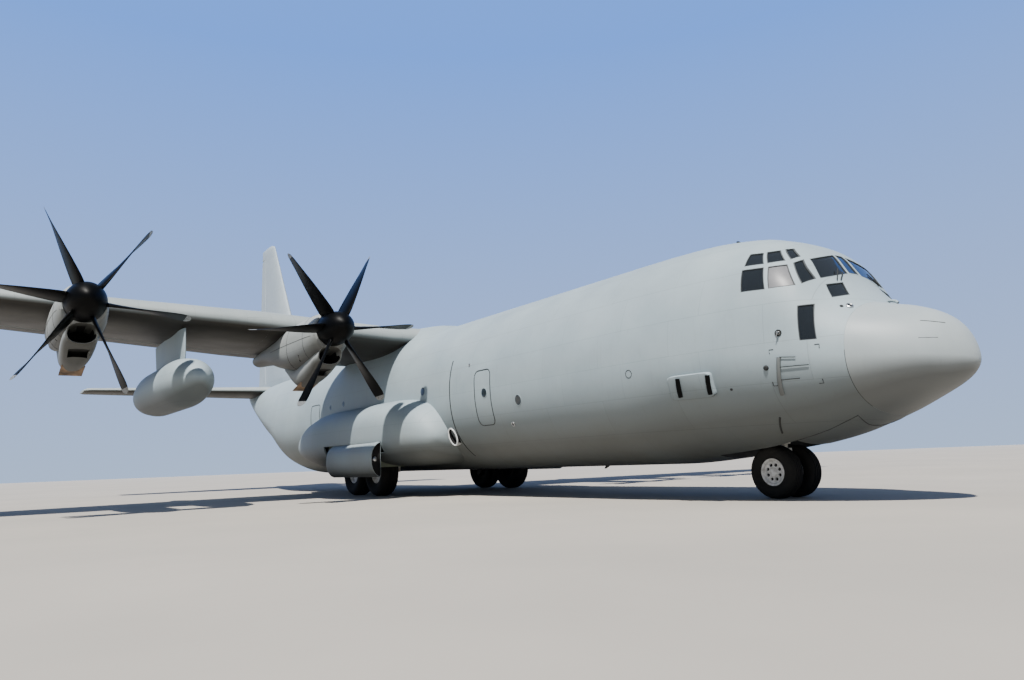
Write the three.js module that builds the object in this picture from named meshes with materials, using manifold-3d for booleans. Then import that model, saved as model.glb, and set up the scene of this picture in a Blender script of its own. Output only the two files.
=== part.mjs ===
// Four-engined military transport aircraft, modelled at half its real size.
// Lengths are the real aircraft's, in millimetres, and the root group scales them by MODEL_SCALE.
// X points forward, Y to port, Z up; the origin is on the ground under the middle of the length.
import * as THREE from "three";
import { mergeVertices } from "three/addons/utils/BufferGeometryUtils.js";
import Module from "manifold-3d";

const wasm = await Module();
wasm.setup();

const MODEL_SCALE = 0.5;
const LENGTH = 34370;
const SPAN = 40410;
const NOSE_X = LENGTH / 2;
const SEAT_GAP = 0.7;
const RUN_GAP = 12;

// Fuselage: stations are distances aft of the nose tip.
const BARREL_RADIUS = 2160;
const BARREL_TOP = 4750;
const BARREL_MID = 2590;
const BELLY = 630;
const SKIN = 110;
const AFT_SKIN = 70;
const RADOME_END = 1230;
const FLIGHT_DECK_END = 5600;
const FORWARD_BARREL_END = 12900;
const CENTRE_BARREL_END = 19700;
const FUSELAGE_SEGMENTS = 28;

// Undercarriage.
const NOSE_GEAR_S = 3370;
const NOSE_TYRE = { radius: 455, width: 320, rim: 235, track: 540 };
const MAIN_GEAR_S = 15740;
const TANDEM = 1520;
const MAIN_TYRE = { radius: 650, width: 490, rim: 300 };
const MAIN_TRACK = 4450;

// Wing: straight centre section, tapered outer panels.
const DIHEDRAL = THREE.MathUtils.degToRad(2.5);
const CENTRE_WING_HALF = 5600;
const WING_ROOT_Z = 4290;
const WING_TABLE = [
  // y, leading edge station, chord, thickness share
  [0, 14300, 4880, 0.18],
  [CENTRE_WING_HALF, 14300, 4880, 0.18],
  [SPAN / 2 - 260, 15080, 2560, 0.12],
  [SPAN / 2, 15500, 1700, 0.08],
];
const WING_CAMBER = 0.02;

// Engines.
const ENGINES = [
  // name, y, disc station, hub height
  ["outer_left", 10000, 12460, 4380],
  ["inner_left", 4800, 11960, 4095],
  ["inner_right", -4800, 11960, 4095],
  ["outer_right", -10000, 12460, 4380],
];
const PROP_RADIUS = 2057;
const SPINNER_RADIUS = 420;

// Tail.
const FIN_TOP = 11810;
const TAILPLANE_HALF_SPAN = 8025;
const TAILPLANE_Z = 4350;
const TAILPLANE_ROOT = { lead: 29000, chord: 4000 };
const TAILPLANE_TIP = { lead: 30400, chord: 2000 };

const V = (x, y, z) => new THREE.Vector3(x, y, z);
const atStation = (s, y, z) => V(NOSE_X - s, y, z);
const deg = THREE.MathUtils.degToRad;

// Solids.
function solidOf(geometry) {
  const bare = geometry.clone();
  bare.deleteAttribute("normal");
  bare.deleteAttribute("uv");
  const merged = mergeVertices(bare, 0.01);
  const vertProperties = new Float32Array(merged.attributes.position.array);
  const triVerts = new Uint32Array(merged.index.array);
  const make = () => new wasm.Manifold(new wasm.Mesh({ numProp: 3, vertProperties, triVerts }));
  const made = make();
  if (made.volume() > 0) return made;
  for (let i = 0; i < triVerts.length; i += 3) {
    [triVerts[i + 1], triVerts[i + 2]] = [triVerts[i + 2], triVerts[i + 1]];
  }
  return make();
}

function geometryOf(solid) {
  const mesh = solid.getMesh();
  const geometry = new THREE.BufferGeometry();
  geometry.setAttribute("position", new THREE.BufferAttribute(new Float32Array(mesh.vertProperties), 3));
  geometry.setIndex(new THREE.BufferAttribute(new Uint32Array(mesh.triVerts), 1));
  return geometry;
}

// Triangles that close a ring, wound the way the ring runs.
function capFaces(ring) {
  const facing = V(0, 0, 0);
  ring.forEach((p, i) => facing.add(new THREE.Vector3().crossVectors(p, ring[(i + 1) % ring.length])));
  const size = [Math.abs(facing.x), Math.abs(facing.y), Math.abs(facing.z)];
  const drop = size.indexOf(Math.max(...size));
  const flat = ring.map((p) => {
    const kept = p.toArray().filter((_, axis) => axis !== drop);
    return new THREE.Vector2(...kept);
  });
  const turn = Math.sign(THREE.ShapeUtils.area(flat));
  return THREE.ShapeUtils.triangulateShape(flat, []).map(([a, b, c]) => {
    const same = Math.sign(THREE.ShapeUtils.area([flat[a], flat[b], flat[c]])) === turn;
    return same ? [a, b, c] : [a, c, b];
  });
}

// A closed skin through rings of equal count.
function loft(rings) {
  const count = rings[0].length;
  const points = [];
  rings.forEach((ring) => ring.forEach((p) => points.push(p.x, p.y, p.z)));
  const faces = [];
  for (let r = 0; r + 1 < rings.length; r++) {
    for (let i = 0; i < count; i++) {
      const a = r * count + i;
      const b = r * count + ((i + 1) % count);
      faces.push(a, b, a + count, b, b + count, a + count);
    }
  }
  for (const [a, b, c] of capFaces(rings[0])) faces.push(b, a, c);
  const last = (rings.length - 1) * count;
  for (const [a, b, c] of capFaces(rings[rings.length - 1])) faces.push(last + a, last + b, last + c);
  const geometry = new THREE.BufferGeometry();
  geometry.setAttribute("position", new THREE.Float32BufferAttribute(points, 3));
  geometry.setIndex(faces);
  return solidOf(geometry);
}

function box(sLow, sHigh, yLow, yHigh, zLow, zHigh) {
  const geometry = new THREE.BoxGeometry(sHigh - sLow, yHigh - yLow, zHigh - zLow);
  geometry.translate(NOSE_X - (sLow + sHigh) / 2, (yLow + yHigh) / 2, (zLow + zHigh) / 2);
  return solidOf(geometry);
}

// A round bar from one point to another.
function rod(from, to, radius, segments = 12, endRadius = radius) {
  const geometry = new THREE.CylinderGeometry(endRadius, radius, from.distanceTo(to), segments);
  const turn = new THREE.Quaternion().setFromUnitVectors(V(0, 1, 0), to.clone().sub(from).normalize());
  geometry.applyQuaternion(turn);
  const middle = from.clone().add(to).multiplyScalar(0.5);
  geometry.translate(middle.x, middle.y, middle.z);
  return solidOf(geometry);
}

// A lathe about a line through a point, its profile as pairs of radius and distance along the line.
function turned(profile, centre, axis, segments) {
  const outline = profile.map(([r, d]) => new THREE.Vector2(r, d));
  const geometry = new THREE.LatheGeometry(outline, segments);
  geometry.applyQuaternion(new THREE.Quaternion().setFromUnitVectors(V(0, 1, 0), axis));
  geometry.translate(centre.x, centre.y, centre.z);
  return solidOf(geometry);
}

function joined(...solids) {
  return solids.reduce((all, one) => all.add(one));
}

function mirrored(solid) {
  return solid.mirror([0, 1, 0]);
}

// Fuselage sections.
const SECTION_TABLE = [
  // station, top, belly, half width, height of the widest line, upper and lower fullness
  [0, 2060, 2040, 10, 2050, 2, 2],
  [30, 2240, 1930, 190, 2060, 2, 2],
  [130, 2490, 1820, 410, 2080, 2, 2],
  [350, 2735, 1680, 740, 2110, 2, 2],
  [750, 2935, 1500, 1070, 2150, 2.1, 2.1],
  [RADOME_END, 3075, 1300, 1330, 2210, 2.3, 2.2],
  [1420, 3270, 1230, 1410, 2240, 2.15, 2.2],
  [1600, 3500, 1165, 1480, 2270, 2.2, 2.2],
  [1750, 3745, 1115, 1545, 2310, 2.3, 2.2],
  [1950, 4035, 1050, 1625, 2350, 2.45, 2.2],
  [2300, 4275, 965, 1740, 2400, 2.6, 2.2],
  [2700, 4440, 890, 1850, 2440, 2.45, 2.2],
  [3100, 4570, 820, 1930, 2480, 2.2, 2.2],
  [4200, 4710, 715, 2080, 2550, 2.1, 2.2],
  [FLIGHT_DECK_END, BARREL_TOP, BELLY, BARREL_RADIUS, BARREL_MID, 2, 2.45],
  [13600, BARREL_TOP, BELLY, BARREL_RADIUS, BARREL_MID, 2, 2.45],
  [14600, 4910, BELLY, BARREL_RADIUS, BARREL_MID, 2, 2.45],
  [15800, 4970, BELLY, BARREL_RADIUS, BARREL_MID, 2, 2.45],
  [17600, 4930, BELLY, BARREL_RADIUS, BARREL_MID, 2, 2.45],
  [19700, BARREL_TOP, BELLY, BARREL_RADIUS, BARREL_MID, 2, 2.45],
  [23200, BARREL_TOP, BELLY, BARREL_RADIUS, BARREL_MID, 2, 2.45],
  [24400, BARREL_TOP, 800, 2120, 2640, 2, 2.45],
  [26400, 4740, 1660, 1930, 2870, 2, 2.1],
  [28600, 4710, 2590, 1560, 3330, 2, 2.05],
  [30800, 4660, 3480, 1130, 3880, 2, 2.3],
  [33000, 4610, 4170, 560, 4340, 2, 2],
  [LENGTH, 4590, 4430, 110, 4510, 2, 2],
];

// The table's row at any station, by straight steps between its rows.
function sectionAt(s) {
  const next = SECTION_TABLE.findIndex((row) => row[0] >= s);
  const b = SECTION_TABLE[Math.max(next, 1)];
  const a = SECTION_TABLE[Math.max(next, 1) - 1];
  const share = (s - a[0]) / (b[0] - a[0]);
  return a.map((value, i) => value + (b[i] - value) * share);
}

function fuselageRing(s, inset = 0, segments = FUSELAGE_SEGMENTS) {
  const [, top, belly, half, mid, upper, lower] = sectionAt(s);
  const ring = [];
  for (let i = 0; i < segments; i++) {
    const turn = (2 * Math.PI * i) / segments;
    const c = Math.cos(turn);
    const d = Math.sin(turn);
    const fullness = 2 / (d > 0 ? upper : lower);
    const y = Math.sign(c) * Math.abs(c) ** fullness * (half - inset);
    const rise = (d > 0 ? top - mid : mid - belly) - inset;
    ring.push(atStation(s, y, mid + Math.sign(d) * Math.abs(d) ** fullness * rise));
  }
  return ring;
}

function fuselageBetween(from, to, inset = 0) {
  const stations = SECTION_TABLE.map((row) => row[0]).filter((s) => s > from && s < to);
  return loft([from, ...stations, to].map((s) => fuselageRing(s, inset)));
}

// Aerofoil outline: chordwise share and height share, round the nose and back.
function halfThickness(thickness, x) {
  return 5 * thickness * (0.2969 * Math.sqrt(x) - 0.126 * x - 0.3516 * x ** 2 + 0.2843 * x ** 3 - 0.1015 * x ** 4);
}

function aerofoil(thickness, camber, points) {
  const outline = [];
  for (let i = 0; i <= 2 * points; i++) {
    const upper = i <= points;
    const share = upper ? 1 - i / points : (i - points) / points;
    const x = share * share * (3 - 2 * share) * 0.5 + share * share * 0.5;
    const line = 4 * camber * x * (1 - x);
    outline.push([x, line + (upper ? 1 : -1) * (halfThickness(thickness, x) + 0.001)]);
  }
  outline.splice(points, 1, [0, 0]);
  return outline;
}

// The hollow between a tail surface's skins and spars, as chord share and height share.
const TAIL_SKIN = 32;
function sparBox(thickness, chord) {
  const shares = [0.04, 0.15, 0.35, 0.5, 0.66];
  const upper = shares.map((x) => [x, halfThickness(thickness, x) - TAIL_SKIN / chord]);
  return [...upper, ...upper.map(([x, h]) => [x, -h]).reverse()];
}

const WING_POINTS = 9;
function wingRing(y) {
  const side = Math.sign(y) || 1;
  const at = Math.abs(y);
  const next = Math.max(1, WING_TABLE.findIndex((row) => row[0] >= at - 1));
  const a = WING_TABLE[next - 1];
  const b = WING_TABLE[next];
  const share = (at - a[0]) / (b[0] - a[0]);
  const [, lead, chord, thickness] = a.map((value, i) => value + (b[i] - value) * share);
  const twist = deg(3 - (3 * at) / (SPAN / 2));
  return aerofoil(thickness, WING_CAMBER, WING_POINTS).map(([x, h]) =>
    atStation(
      lead + x * chord * Math.cos(twist) - h * chord * Math.sin(twist) * -1,
      side * at,
      WING_ROOT_Z + at * Math.tan(DIHEDRAL) + h * chord * Math.cos(twist) - (x - 0.2) * chord * Math.sin(twist),
    ),
  );
}

function wingBetween(yLow, yHigh) {
  const rows = WING_TABLE.map((row) => row[0]);
  const cuts = [...rows, ...rows.map((y) => -y)].filter((y) => y > yLow && y < yHigh && y !== 0);
  return loft([yLow, ...cuts, yHigh].sort((a, b) => a - b).map(wingRing));
}

// A bore's radius, so that a turning bar of the given radius clears its flats.
function boreFor(radius, gap, segments) {
  return (radius + gap) / Math.cos(Math.PI / segments);
}

const PIN_RADIUS = 22;

// Cuts a trailing surface off a panel at a hinge line. The surface keeps a round nose on the hinge,
// and is trimmed so that it clears the panel when it swings by most degrees either way.
function hinged(panel, from, to, aft, up, radius, most, endGap = RUN_GAP) {
  const along = to.clone().sub(from).normalize();
  const reach = 6000;
  const start = from.clone().addScaledVector(along, endGap);
  const end = to.clone().addScaledVector(along, -endGap);
  const prism = (a, b, outline) =>
    loft([a, b].map((at) => outline.map(([x, z]) => at.clone().addScaledVector(aft, x).addScaledVector(up, z))));
  const spread = Math.tan(deg(90 - most)) * reach;
  const wedge = prism(start, end, [[0, 0], [reach, -spread], [reach * 1.01, 0], [reach, spread]]);
  const nose = rod(start, end, radius, 16);
  const surface = panel.intersect(wedge.add(nose));
  const bay = prism(from, to, [[0, -reach], [reach, -reach], [reach, reach], [0, reach]]);
  const pocket = rod(from, to, radius + RUN_GAP, 16);
  let fixed = panel.subtract(bay).subtract(pocket);
  let moving = surface;
  for (const [end, way] of [[from, 1], [to, -1]]) {
    const root = end.clone().addScaledVector(along, -40 * way);
    fixed = fixed.add(rod(root, end.clone().addScaledVector(along, (RUN_GAP + 70) * way), PIN_RADIUS, 12));
    moving = moving.subtract(
      rod(root, end.clone().addScaledVector(along, (RUN_GAP + 85) * way), boreFor(PIN_RADIUS, SEAT_GAP, 16), 16),
    );
  }
  return { panel: fixed, surface: moving };
}

const pieces = [];
function piece(name, solid, finish) {
  pieces.push([name, solid, finish]);
}

// The ring moved outwards in its own plane, for the hole that a neighbour cuts round this shape.
function grownRing(ring, gap) {
  const count = ring.length;
  const facing = V(0, 0, 0);
  ring.forEach((p, i) => facing.add(new THREE.Vector3().crossVectors(p, ring[(i + 1) % count])));
  facing.normalize();
  const outwards = ring.map((p, i) =>
    new THREE.Vector3().crossVectors(ring[(i + 1) % count].clone().sub(p), facing).normalize(),
  );
  return ring.map((p, i) => {
    const mean = outwards[i].clone().add(outwards[(i + count - 1) % count]).normalize();
    const spread = Math.max(0.35, mean.dot(outwards[i]));
    return p.clone().addScaledVector(mean, gap / spread);
  });
}

function largest(solid) {
  return solid.decompose().sort((a, b) => b.volume() - a.volume())[0];
}

// A ring of a rounded box shape across the aircraft, centred at (y, z).
function crossRing(s, y, z, halfWidth, halfHeight, fullness, segments = 16) {
  const ring = [];
  for (let i = 0; i < segments; i++) {
    const turn = (2 * Math.PI * (i + 0.5)) / segments;
    const c = Math.cos(turn);
    const d = Math.sin(turn);
    ring.push(
      atStation(
        s,
        y + Math.sign(c) * Math.abs(c) ** (2 / fullness) * halfWidth,
        z + Math.sign(d) * Math.abs(d) ** (2 / fullness) * halfHeight,
      ),
    );
  }
  return ring;
}

// A prism between two widths, its outline as pairs of station and height.
function sidePrism(outline, yLow, yHigh) {
  return loft([yLow, yHigh].map((y) => outline.map(([s, z]) => atStation(s, y, z))));
}

// Fuselage
const hull = fuselageBetween(0, LENGTH);
const hullGrown = fuselageBetween(0, LENGTH, -SEAT_GAP);
const wingHole = loft([-CENTRE_WING_HALF, CENTRE_WING_HALF].map(wingRing).map((ring) => grownRing(ring, SEAT_GAP)));

piece("nose_radome", fuselageBetween(0, RADOME_END), "painted_skin");

function shell(from, to, wallFrom, wallTo, skin = SKIN) {
  return fuselageBetween(from + SEAT_GAP, to).subtract(fuselageBetween(wallFrom, wallTo, skin));
}

// The space inside the skin, less a gap.
const INSIDE_FROM = RADOME_END + SKIN;
function inside(gap) {
  return fuselageBetween(INSIDE_FROM, 30800, SKIN + SEAT_GAP + gap);
}

// Cockpit windows: the side ones as pairs of station and height, the front ones as pairs of y and height.
const SIDE_WINDOWS = [
  [[2300, 3347], [2668, 3363], [2743, 3768], [2407, 3771]],
  [[1908, 3364], [2252, 3356], [2345, 3767], [2124, 3801]],
  [[1724, 3360], [1838, 3289], [2052, 3782], [1978, 3846]],
  [[2426, 3813], [2755, 3858], [2760, 4085], [2564, 4081]],
  [[2155, 3850], [2368, 3818], [2507, 4072], [2319, 4071]],
  [[2041, 3909], [2116, 3845], [2295, 4087], [2229, 4103]],
  [[1573, 2452], [1801, 2457], [1830, 3015], [1640, 3027]],
];
const FRONT_WINDOWS = [
  [[1026, 3361], [269, 3515], [174, 4015], [871, 3861]],
  [[952, 3345], [595, 3405], [690, 3176], [1018, 3127]],
];
const CENTRE_WINDOW = [[210, 3545], [-210, 3545], [-105, 4020], [105, 4020]];
const NOSE_WELL = { from: 2640, to: 4260, half: 650, roof: 1500, wall: 40 };
const CREW_DOOR = { from: 4450, to: 5210, sill: 1040, head: 2180 };

let cockpit = shell(RADOME_END, FLIGHT_DECK_END, INSIDE_FROM, FLIGHT_DECK_END + 50);
const { from: wellFrom, to: wellTo, half: wellHalf, roof: wellRoof, wall: wellWall } = NOSE_WELL;
cockpit = cockpit.add(
  box(wellFrom - wellWall, wellTo + wellWall, -wellHalf - wellWall, wellHalf + wellWall, 0, wellRoof + wellWall).intersect(hull),
);
cockpit = cockpit.subtract(box(wellFrom, wellTo, -wellHalf, wellHalf, 0, wellRoof));
for (const outline of SIDE_WINDOWS) {
  cockpit = cockpit.subtract(sidePrism(outline, 820, 2600)).subtract(sidePrism(outline, -2600, -820));
}
const frontPrism = (outline, side) => loft([1000, 2200].map((s) => outline.map(([y, z]) => atStation(s, side * y, z))));
for (const outline of FRONT_WINDOWS) {
  cockpit = cockpit.subtract(frontPrism(outline, 1)).subtract(frontPrism(outline, -1));
}
cockpit = cockpit.subtract(frontPrism(CENTRE_WINDOW, 1));
const doorBlank = shell(RADOME_END, FLIGHT_DECK_END, INSIDE_FROM, FLIGHT_DECK_END + 50);
let crewDoor = doorBlank.intersect(box(CREW_DOOR.from, CREW_DOOR.to, 900, 2500, CREW_DOOR.sill, CREW_DOOR.head));
cockpit = cockpit.subtract(
  box(
    CREW_DOOR.from - RUN_GAP, CREW_DOOR.to + RUN_GAP, 900, 2500,
    CREW_DOOR.sill - RUN_GAP, CREW_DOOR.head + RUN_GAP,
  ),
);
// The crew door turns on two outside hinges below its sill.
const CREW_HINGE = { y: 1497, z: 1028, pin: 11, eye: 21, stations: [4640, 5060] };
for (const s of CREW_HINGE.stations) {
  const { y, z, pin, eye } = CREW_HINGE;
  cockpit = cockpit
    .add(box(s - 30, s, 1200, y + 14, z - 40, z + 14).subtract(inside(0)).subtract(box(s - 40, s + 10, 1200, y - 40, z, z + 40)))
    .add(rod(atStation(s - 5, y, z), atStation(s + 46, y, z), pin, 12));
  crewDoor = crewDoor
    .add(rod(atStation(s + 5, y, z), atStation(s + 45, y, z), eye, 12))
    .add(box(s + 5, s + 45, 1360, y, CREW_DOOR.sill + 1, z + 34))
    .subtract(rod(atStation(s - 2, y, z), atStation(s + 60, y, z), boreFor(pin, SEAT_GAP, 12), 12));
}
piece("crew_door", crewDoor, "painted_skin");
piece("cockpit_shell", cockpit, "painted_skin");

const DECK_TOP = 2350;
const GLASS = 20;
piece(
  "cockpit_glazing",
  inside(0)
    .subtract(inside(GLASS))
    .intersect(box(INSIDE_FROM + GLASS, 2900, -2500, 2500, DECK_TOP + 60, 5000)),
  "window_glass",
);

// Flight deck: floor, instrument panel, console and four seats on one frame.
let deck = box(INSIDE_FROM + SEAT_GAP, 4350, -2300, 2300, DECK_TOP - 60, DECK_TOP).intersect(inside(0));
deck = joined(
  deck,
  box(1760, 1900, -1020, 1020, DECK_TOP - 10, 3260),
  box(1850, 2750, -190, 190, DECK_TOP - 10, 2960),
  box(INSIDE_FROM + 20, 2590, -900, 900, 1600, DECK_TOP - 50).intersect(inside(20)),
);
for (const [seatFrom, seatY] of [[2480, 560], [2480, -560], [3350, 900], [3350, -900]]) {
  deck = joined(
    deck,
    box(seatFrom, seatFrom + 480, seatY - 250, seatY + 250, DECK_TOP - 10, DECK_TOP + 430),
    box(seatFrom + 440, seatFrom + 560, seatY - 240, seatY + 240, DECK_TOP + 100, DECK_TOP + 1180),
  );
}
piece("flight_deck", deck, "cabin_trim");

piece(
  "forward_fuselage",
  shell(FLIGHT_DECK_END, FORWARD_BARREL_END, FLIGHT_DECK_END - 50, FORWARD_BARREL_END + 50),
  "painted_skin",
);

// The main wheel wells stand in the sides of the centre barrel.
const MAIN_WELL = { from: 14100, to: 17300, inner: 1600, outer: 2860, roof: 2220, wall: 55 };
let centre = shell(FORWARD_BARREL_END, CENTRE_BARREL_END, FORWARD_BARREL_END - 50, CENTRE_BARREL_END + 50);
for (const side of [1, -1]) {
  const inner = MAIN_WELL.inner - MAIN_WELL.wall;
  const walls = box(
    MAIN_WELL.from - MAIN_WELL.wall, MAIN_WELL.to + MAIN_WELL.wall,
    side > 0 ? inner : -2300, side > 0 ? 2300 : -inner, 0, MAIN_WELL.roof + MAIN_WELL.wall,
  ).intersect(hull);
  const space = box(
    MAIN_WELL.from, MAIN_WELL.to,
    side > 0 ? MAIN_WELL.inner : -2300, side > 0 ? 2300 : -MAIN_WELL.inner, 0, MAIN_WELL.roof,
  );
  centre = centre.add(walls).subtract(space);
}
centre = centre.subtract(wingHole);
piece("centre_fuselage", largest(centre), "painted_skin");

const FLOOR_TOP = 1040;

// Aft barrel with the ramp and the aft cargo door cut out of its rising belly.
const RAMP = { hinge: 23300, end: 26350, endTop: 26240, half: 1400 };
const AFT_DOOR = { from: 26374, to: 29800, halfFront: 1300, halfBack: 820 };
const rampOutline = (grow) => [
  [RAMP.hinge + RUN_GAP - grow, grow ? 2230 : FLOOR_TOP],
  [RAMP.hinge + RUN_GAP - grow, -500],
  [RAMP.end + grow, -500],
  [RAMP.end + grow, 1650],
  [(grow ? RAMP.end : RAMP.endTop) + grow, grow ? 2230 : 1890],
];
const AFT_HOLLOW_END = 33000;
let aft = shell(CENTRE_BARREL_END, LENGTH, CENTRE_BARREL_END - 50, AFT_HOLLOW_END, AFT_SKIN);
let ramp = sidePrism(rampOutline(0), -RAMP.half, RAMP.half).intersect(hull);
aft = aft.subtract(sidePrism(rampOutline(RUN_GAP), -RAMP.half - RUN_GAP, RAMP.half + RUN_GAP));
const RAMP_HINGE = { z: 603, pin: 11, eye: 20, places: [-390, 340] };
for (const y of RAMP_HINGE.places) {
  const { z, pin, eye } = RAMP_HINGE;
  const axle = (low, high, radius, segments) =>
    rod(atStation(RAMP.hinge, low, z), atStation(RAMP.hinge, high, z), radius, segments);
  aft = aft.add(box(RAMP.hinge - 45, RAMP.hinge + 10, y - 40, y, z - 20, 660).subtract(box(RAMP.hinge, RAMP.hinge + 20, y - 60, y + 10, z + 25, 700)))
    .add(axle(y - 5, y + 51, pin, 12));
  ramp = ramp
    .add(axle(y + 5, y + 50, eye, 12))
    .add(box(RAMP.hinge, RAMP.hinge + 62, y + 5, y + 50, z - 18, z + 18))
    .add(box(RAMP.hinge + RUN_GAP, RAMP.hinge + 62, y + 5, y + 50, z - 18, 740))
    .subtract(axle(y - 2, y + 60, boreFor(pin, SEAT_GAP, 12), 12));
}
piece("cargo_ramp", ramp, "painted_skin");
function doorPlan(grow) {
  const outline = [
    [AFT_DOOR.from - grow, -AFT_DOOR.halfFront - grow],
    [AFT_DOOR.to + grow, -AFT_DOOR.halfBack - grow],
    [AFT_DOOR.to + grow, AFT_DOOR.halfBack + grow],
    [AFT_DOOR.from - grow, AFT_DOOR.halfFront + grow],
  ];
  const line = (s) => 2230 + (s - AFT_DOOR.from) * 0.42;
  return loft([
    outline.map(([s, y]) => atStation(s, y, 0)),
    outline.map(([s, y]) => atStation(s, y, line(s))),
  ]);
}
let aftDoor = largest(aft.intersect(doorPlan(0)));
aft = aft.subtract(doorPlan(RUN_GAP));
const AFT_HINGE = { z: 3310, pin: 16, eye: 30, places: [-260, 220] };
for (const y of AFT_HINGE.places) {
  const { z, pin, eye } = AFT_HINGE;
  const s = AFT_DOOR.to;
  const axle = (low, high, radius, segments) => rod(atStation(s, low, z), atStation(s, high, z), radius, segments);
  aft = aft
    .add(box(s + 30, s + 90, y - 40, y, 3080, z + 25))
    .add(box(s - 20, s + 60, y - 40, y, z - 25, z + 25))
    .add(axle(y - 5, y + 51, pin, 12));
  aftDoor = aftDoor
    .add(axle(y + 5, y + 50, eye, 12))
    .add(box(s - 60, s, y + 5, y + 50, z - 28, z + 28))
    .add(box(s - 60, s - 15, y + 5, y + 50, 3060, z + 28))
    .subtract(axle(y - 2, y + 60, boreFor(pin, SEAT_GAP, 12), 12));
}
piece("aft_cargo_door", aftDoor, "painted_skin");
piece("aft_fuselage", largest(aft), "painted_skin");

// Cargo floor, from the flight deck's back to the ramp.
piece(
  "cargo_floor",
  box(5210, RAMP.hinge - RUN_GAP, -1400, 1400, FLOOR_TOP - 130, FLOOR_TOP)
    .intersect(inside(0))
    .subtract(box(5000, 5600, 800, 1600, 0, 2000)),
  "floor_metal",
);

// Wing
const FLAP_CHORD = 0.27;
const AILERON_CHORD = 0.25;
const OUTER_FLAP_END = 13300;
const AILERON_END = 19850;

function wingPoint(y, chordShare) {
  const ring = wingRing(y);
  const lead = ring[WING_POINTS];
  const trail = ring[0].clone().add(ring[ring.length - 1]).multiplyScalar(0.5);
  return lead.clone().lerp(trail, chordShare);
}

// Splits a flap off a wing panel by a wall across the chord, with a seating gap.
function withFlap(panel, yLow, yHigh) {
  const side = Math.sign(yLow + yHigh);
  const ends = [yLow, yHigh].map((y) => wingPoint(y, 1 - FLAP_CHORD));
  const region = (gap) =>
    loft(
      [[ends[0], yLow + gap], [ends[1], yHigh - gap]].map(([at, y]) => [
        V(at.x - gap, y, at.z - 900), V(at.x - 4000, y, at.z - 900),
        V(at.x - 4000, y, at.z + 900), V(at.x - gap, y, at.z + 900),
      ]),
    );
  return { panel: panel.subtract(region(0)), flap: panel.intersect(region(SEAT_GAP)), side };
}

let centreWing = wingBetween(-CENTRE_WING_HALF, CENTRE_WING_HALF);
const INNER_FLAP = [2230, CENTRE_WING_HALF];
for (const [name, low, high] of [
  ["inner_flap_left", INNER_FLAP[0], INNER_FLAP[1] + 1],
  ["inner_flap_right", -INNER_FLAP[1] - 1, -INNER_FLAP[0]],
]) {
  const cut = withFlap(centreWing, low, high);
  centreWing = cut.panel;
  piece(name, cut.flap, "painted_skin");
}

piece("centre_wing", centreWing, "painted_skin");

let outerWing = wingBetween(CENTRE_WING_HALF + SEAT_GAP, SPAN / 2);
const outerCut = withFlap(outerWing, CENTRE_WING_HALF, OUTER_FLAP_END);
outerWing = outerCut.panel;

const hingeFrom = wingPoint(OUTER_FLAP_END + 60, 1 - AILERON_CHORD);
const hingeTo = wingPoint(AILERON_END, 1 - AILERON_CHORD);
function across(along) {
  const aft = V(-1, 0, 0).addScaledVector(along, along.x).normalize();
  const up = new THREE.Vector3().crossVectors(along, aft).normalize();
  return { aft, up };
}
const aileronLine = hingeTo.clone().sub(hingeFrom).normalize();
const aileronCut = hinged(outerWing, hingeFrom, hingeTo, across(aileronLine).aft, across(aileronLine).up, 95, 27);
outerWing = aileronCut.panel;
for (const [name, solid] of [
  ["outer_wing", outerWing], ["outer_flap", outerCut.flap], ["aileron", aileronCut.surface],
]) {
  piece(`${name}_left`, solid, "painted_skin");
  piece(`${name}_right`, mirrored(solid), "painted_skin");
}
const grownPanel = (low, high) => loft([low, high].map(wingRing).map((ring) => grownRing(ring, SEAT_GAP)));
const outerGrown = grownPanel(CENTRE_WING_HALF, WING_TABLE[2][0]);
const wholeWingGrown = joined(grownPanel(-CENTRE_WING_HALF, CENTRE_WING_HALF), outerGrown, mirrored(outerGrown));

// Nacelles and propellers
const COWL_TABLE = [
  // distance behind the disc, top, bottom, half width (all from the shaft line), fullness
  [300, 430, -480, 440, 2],
  [420, 460, -600, 480, 2.1],
  [900, 470, -740, 510, 2.3],
  [2000, 430, -800, 520, 2.5],
  [3300, 320, -600, 480, 2.4],
  [4600, 200, -330, 340, 2.2],
  [5900, 100, -230, 210, 2],
];
const CHIN_TABLE = [
  // distance behind the disc, middle height, half width, half height
  [430, -690, 300, 215],
  [650, -750, 350, 280],
  [1500, -840, 350, 320],
  [2150, -900, 290, 290],
  [2900, -620, 260, 180],
];
const SHAFT_RADIUS = 90;
function nacelle([, y, disc, z]) {
  const cowl = loft(
    COWL_TABLE.map(([d, top, bottom, half, fullness]) =>
      crossRing(disc + d, y, z + (top + bottom) / 2, half, (top - bottom) / 2, fullness),
    ),
  );
  const chin = loft(
    CHIN_TABLE.map(([d, middle, half, height]) => crossRing(disc + d, y, z + middle, half, height, 2.6, 14)),
  );
  const mouth = loft(
    [[400, 265, 165], [520, 265, 165], [1250, 160, 90]].map(([d, half, height]) =>
      crossRing(disc + d, y, z - 650, half, height, 2.4, 12),
    ),
  );
  const pipe = rod(atStation(disc + 5400, y, z - 80), atStation(disc + 6000, y, z - 80), 115, 12);
  const shaft = rod(atStation(disc + 320, y, z), atStation(disc + 110, y, z), SHAFT_RADIUS, 12);
  return largest(joined(cowl, chin, shaft).subtract(mouth).subtract(pipe).subtract(wholeWingGrown));
}

const BLADE_TABLE = [
  // distance from the shaft, chord, thickness, angle of the chord from the disc in degrees (feathered)
  [200, 145, 120, 108],
  [436, 160, 104, 106],
  [498, 400, 85, 105],
  [1100, 390, 42, 96],
  [1800, 320, 18, 82],
  [PROP_RADIUS, 130, 8, 79],
];
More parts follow.
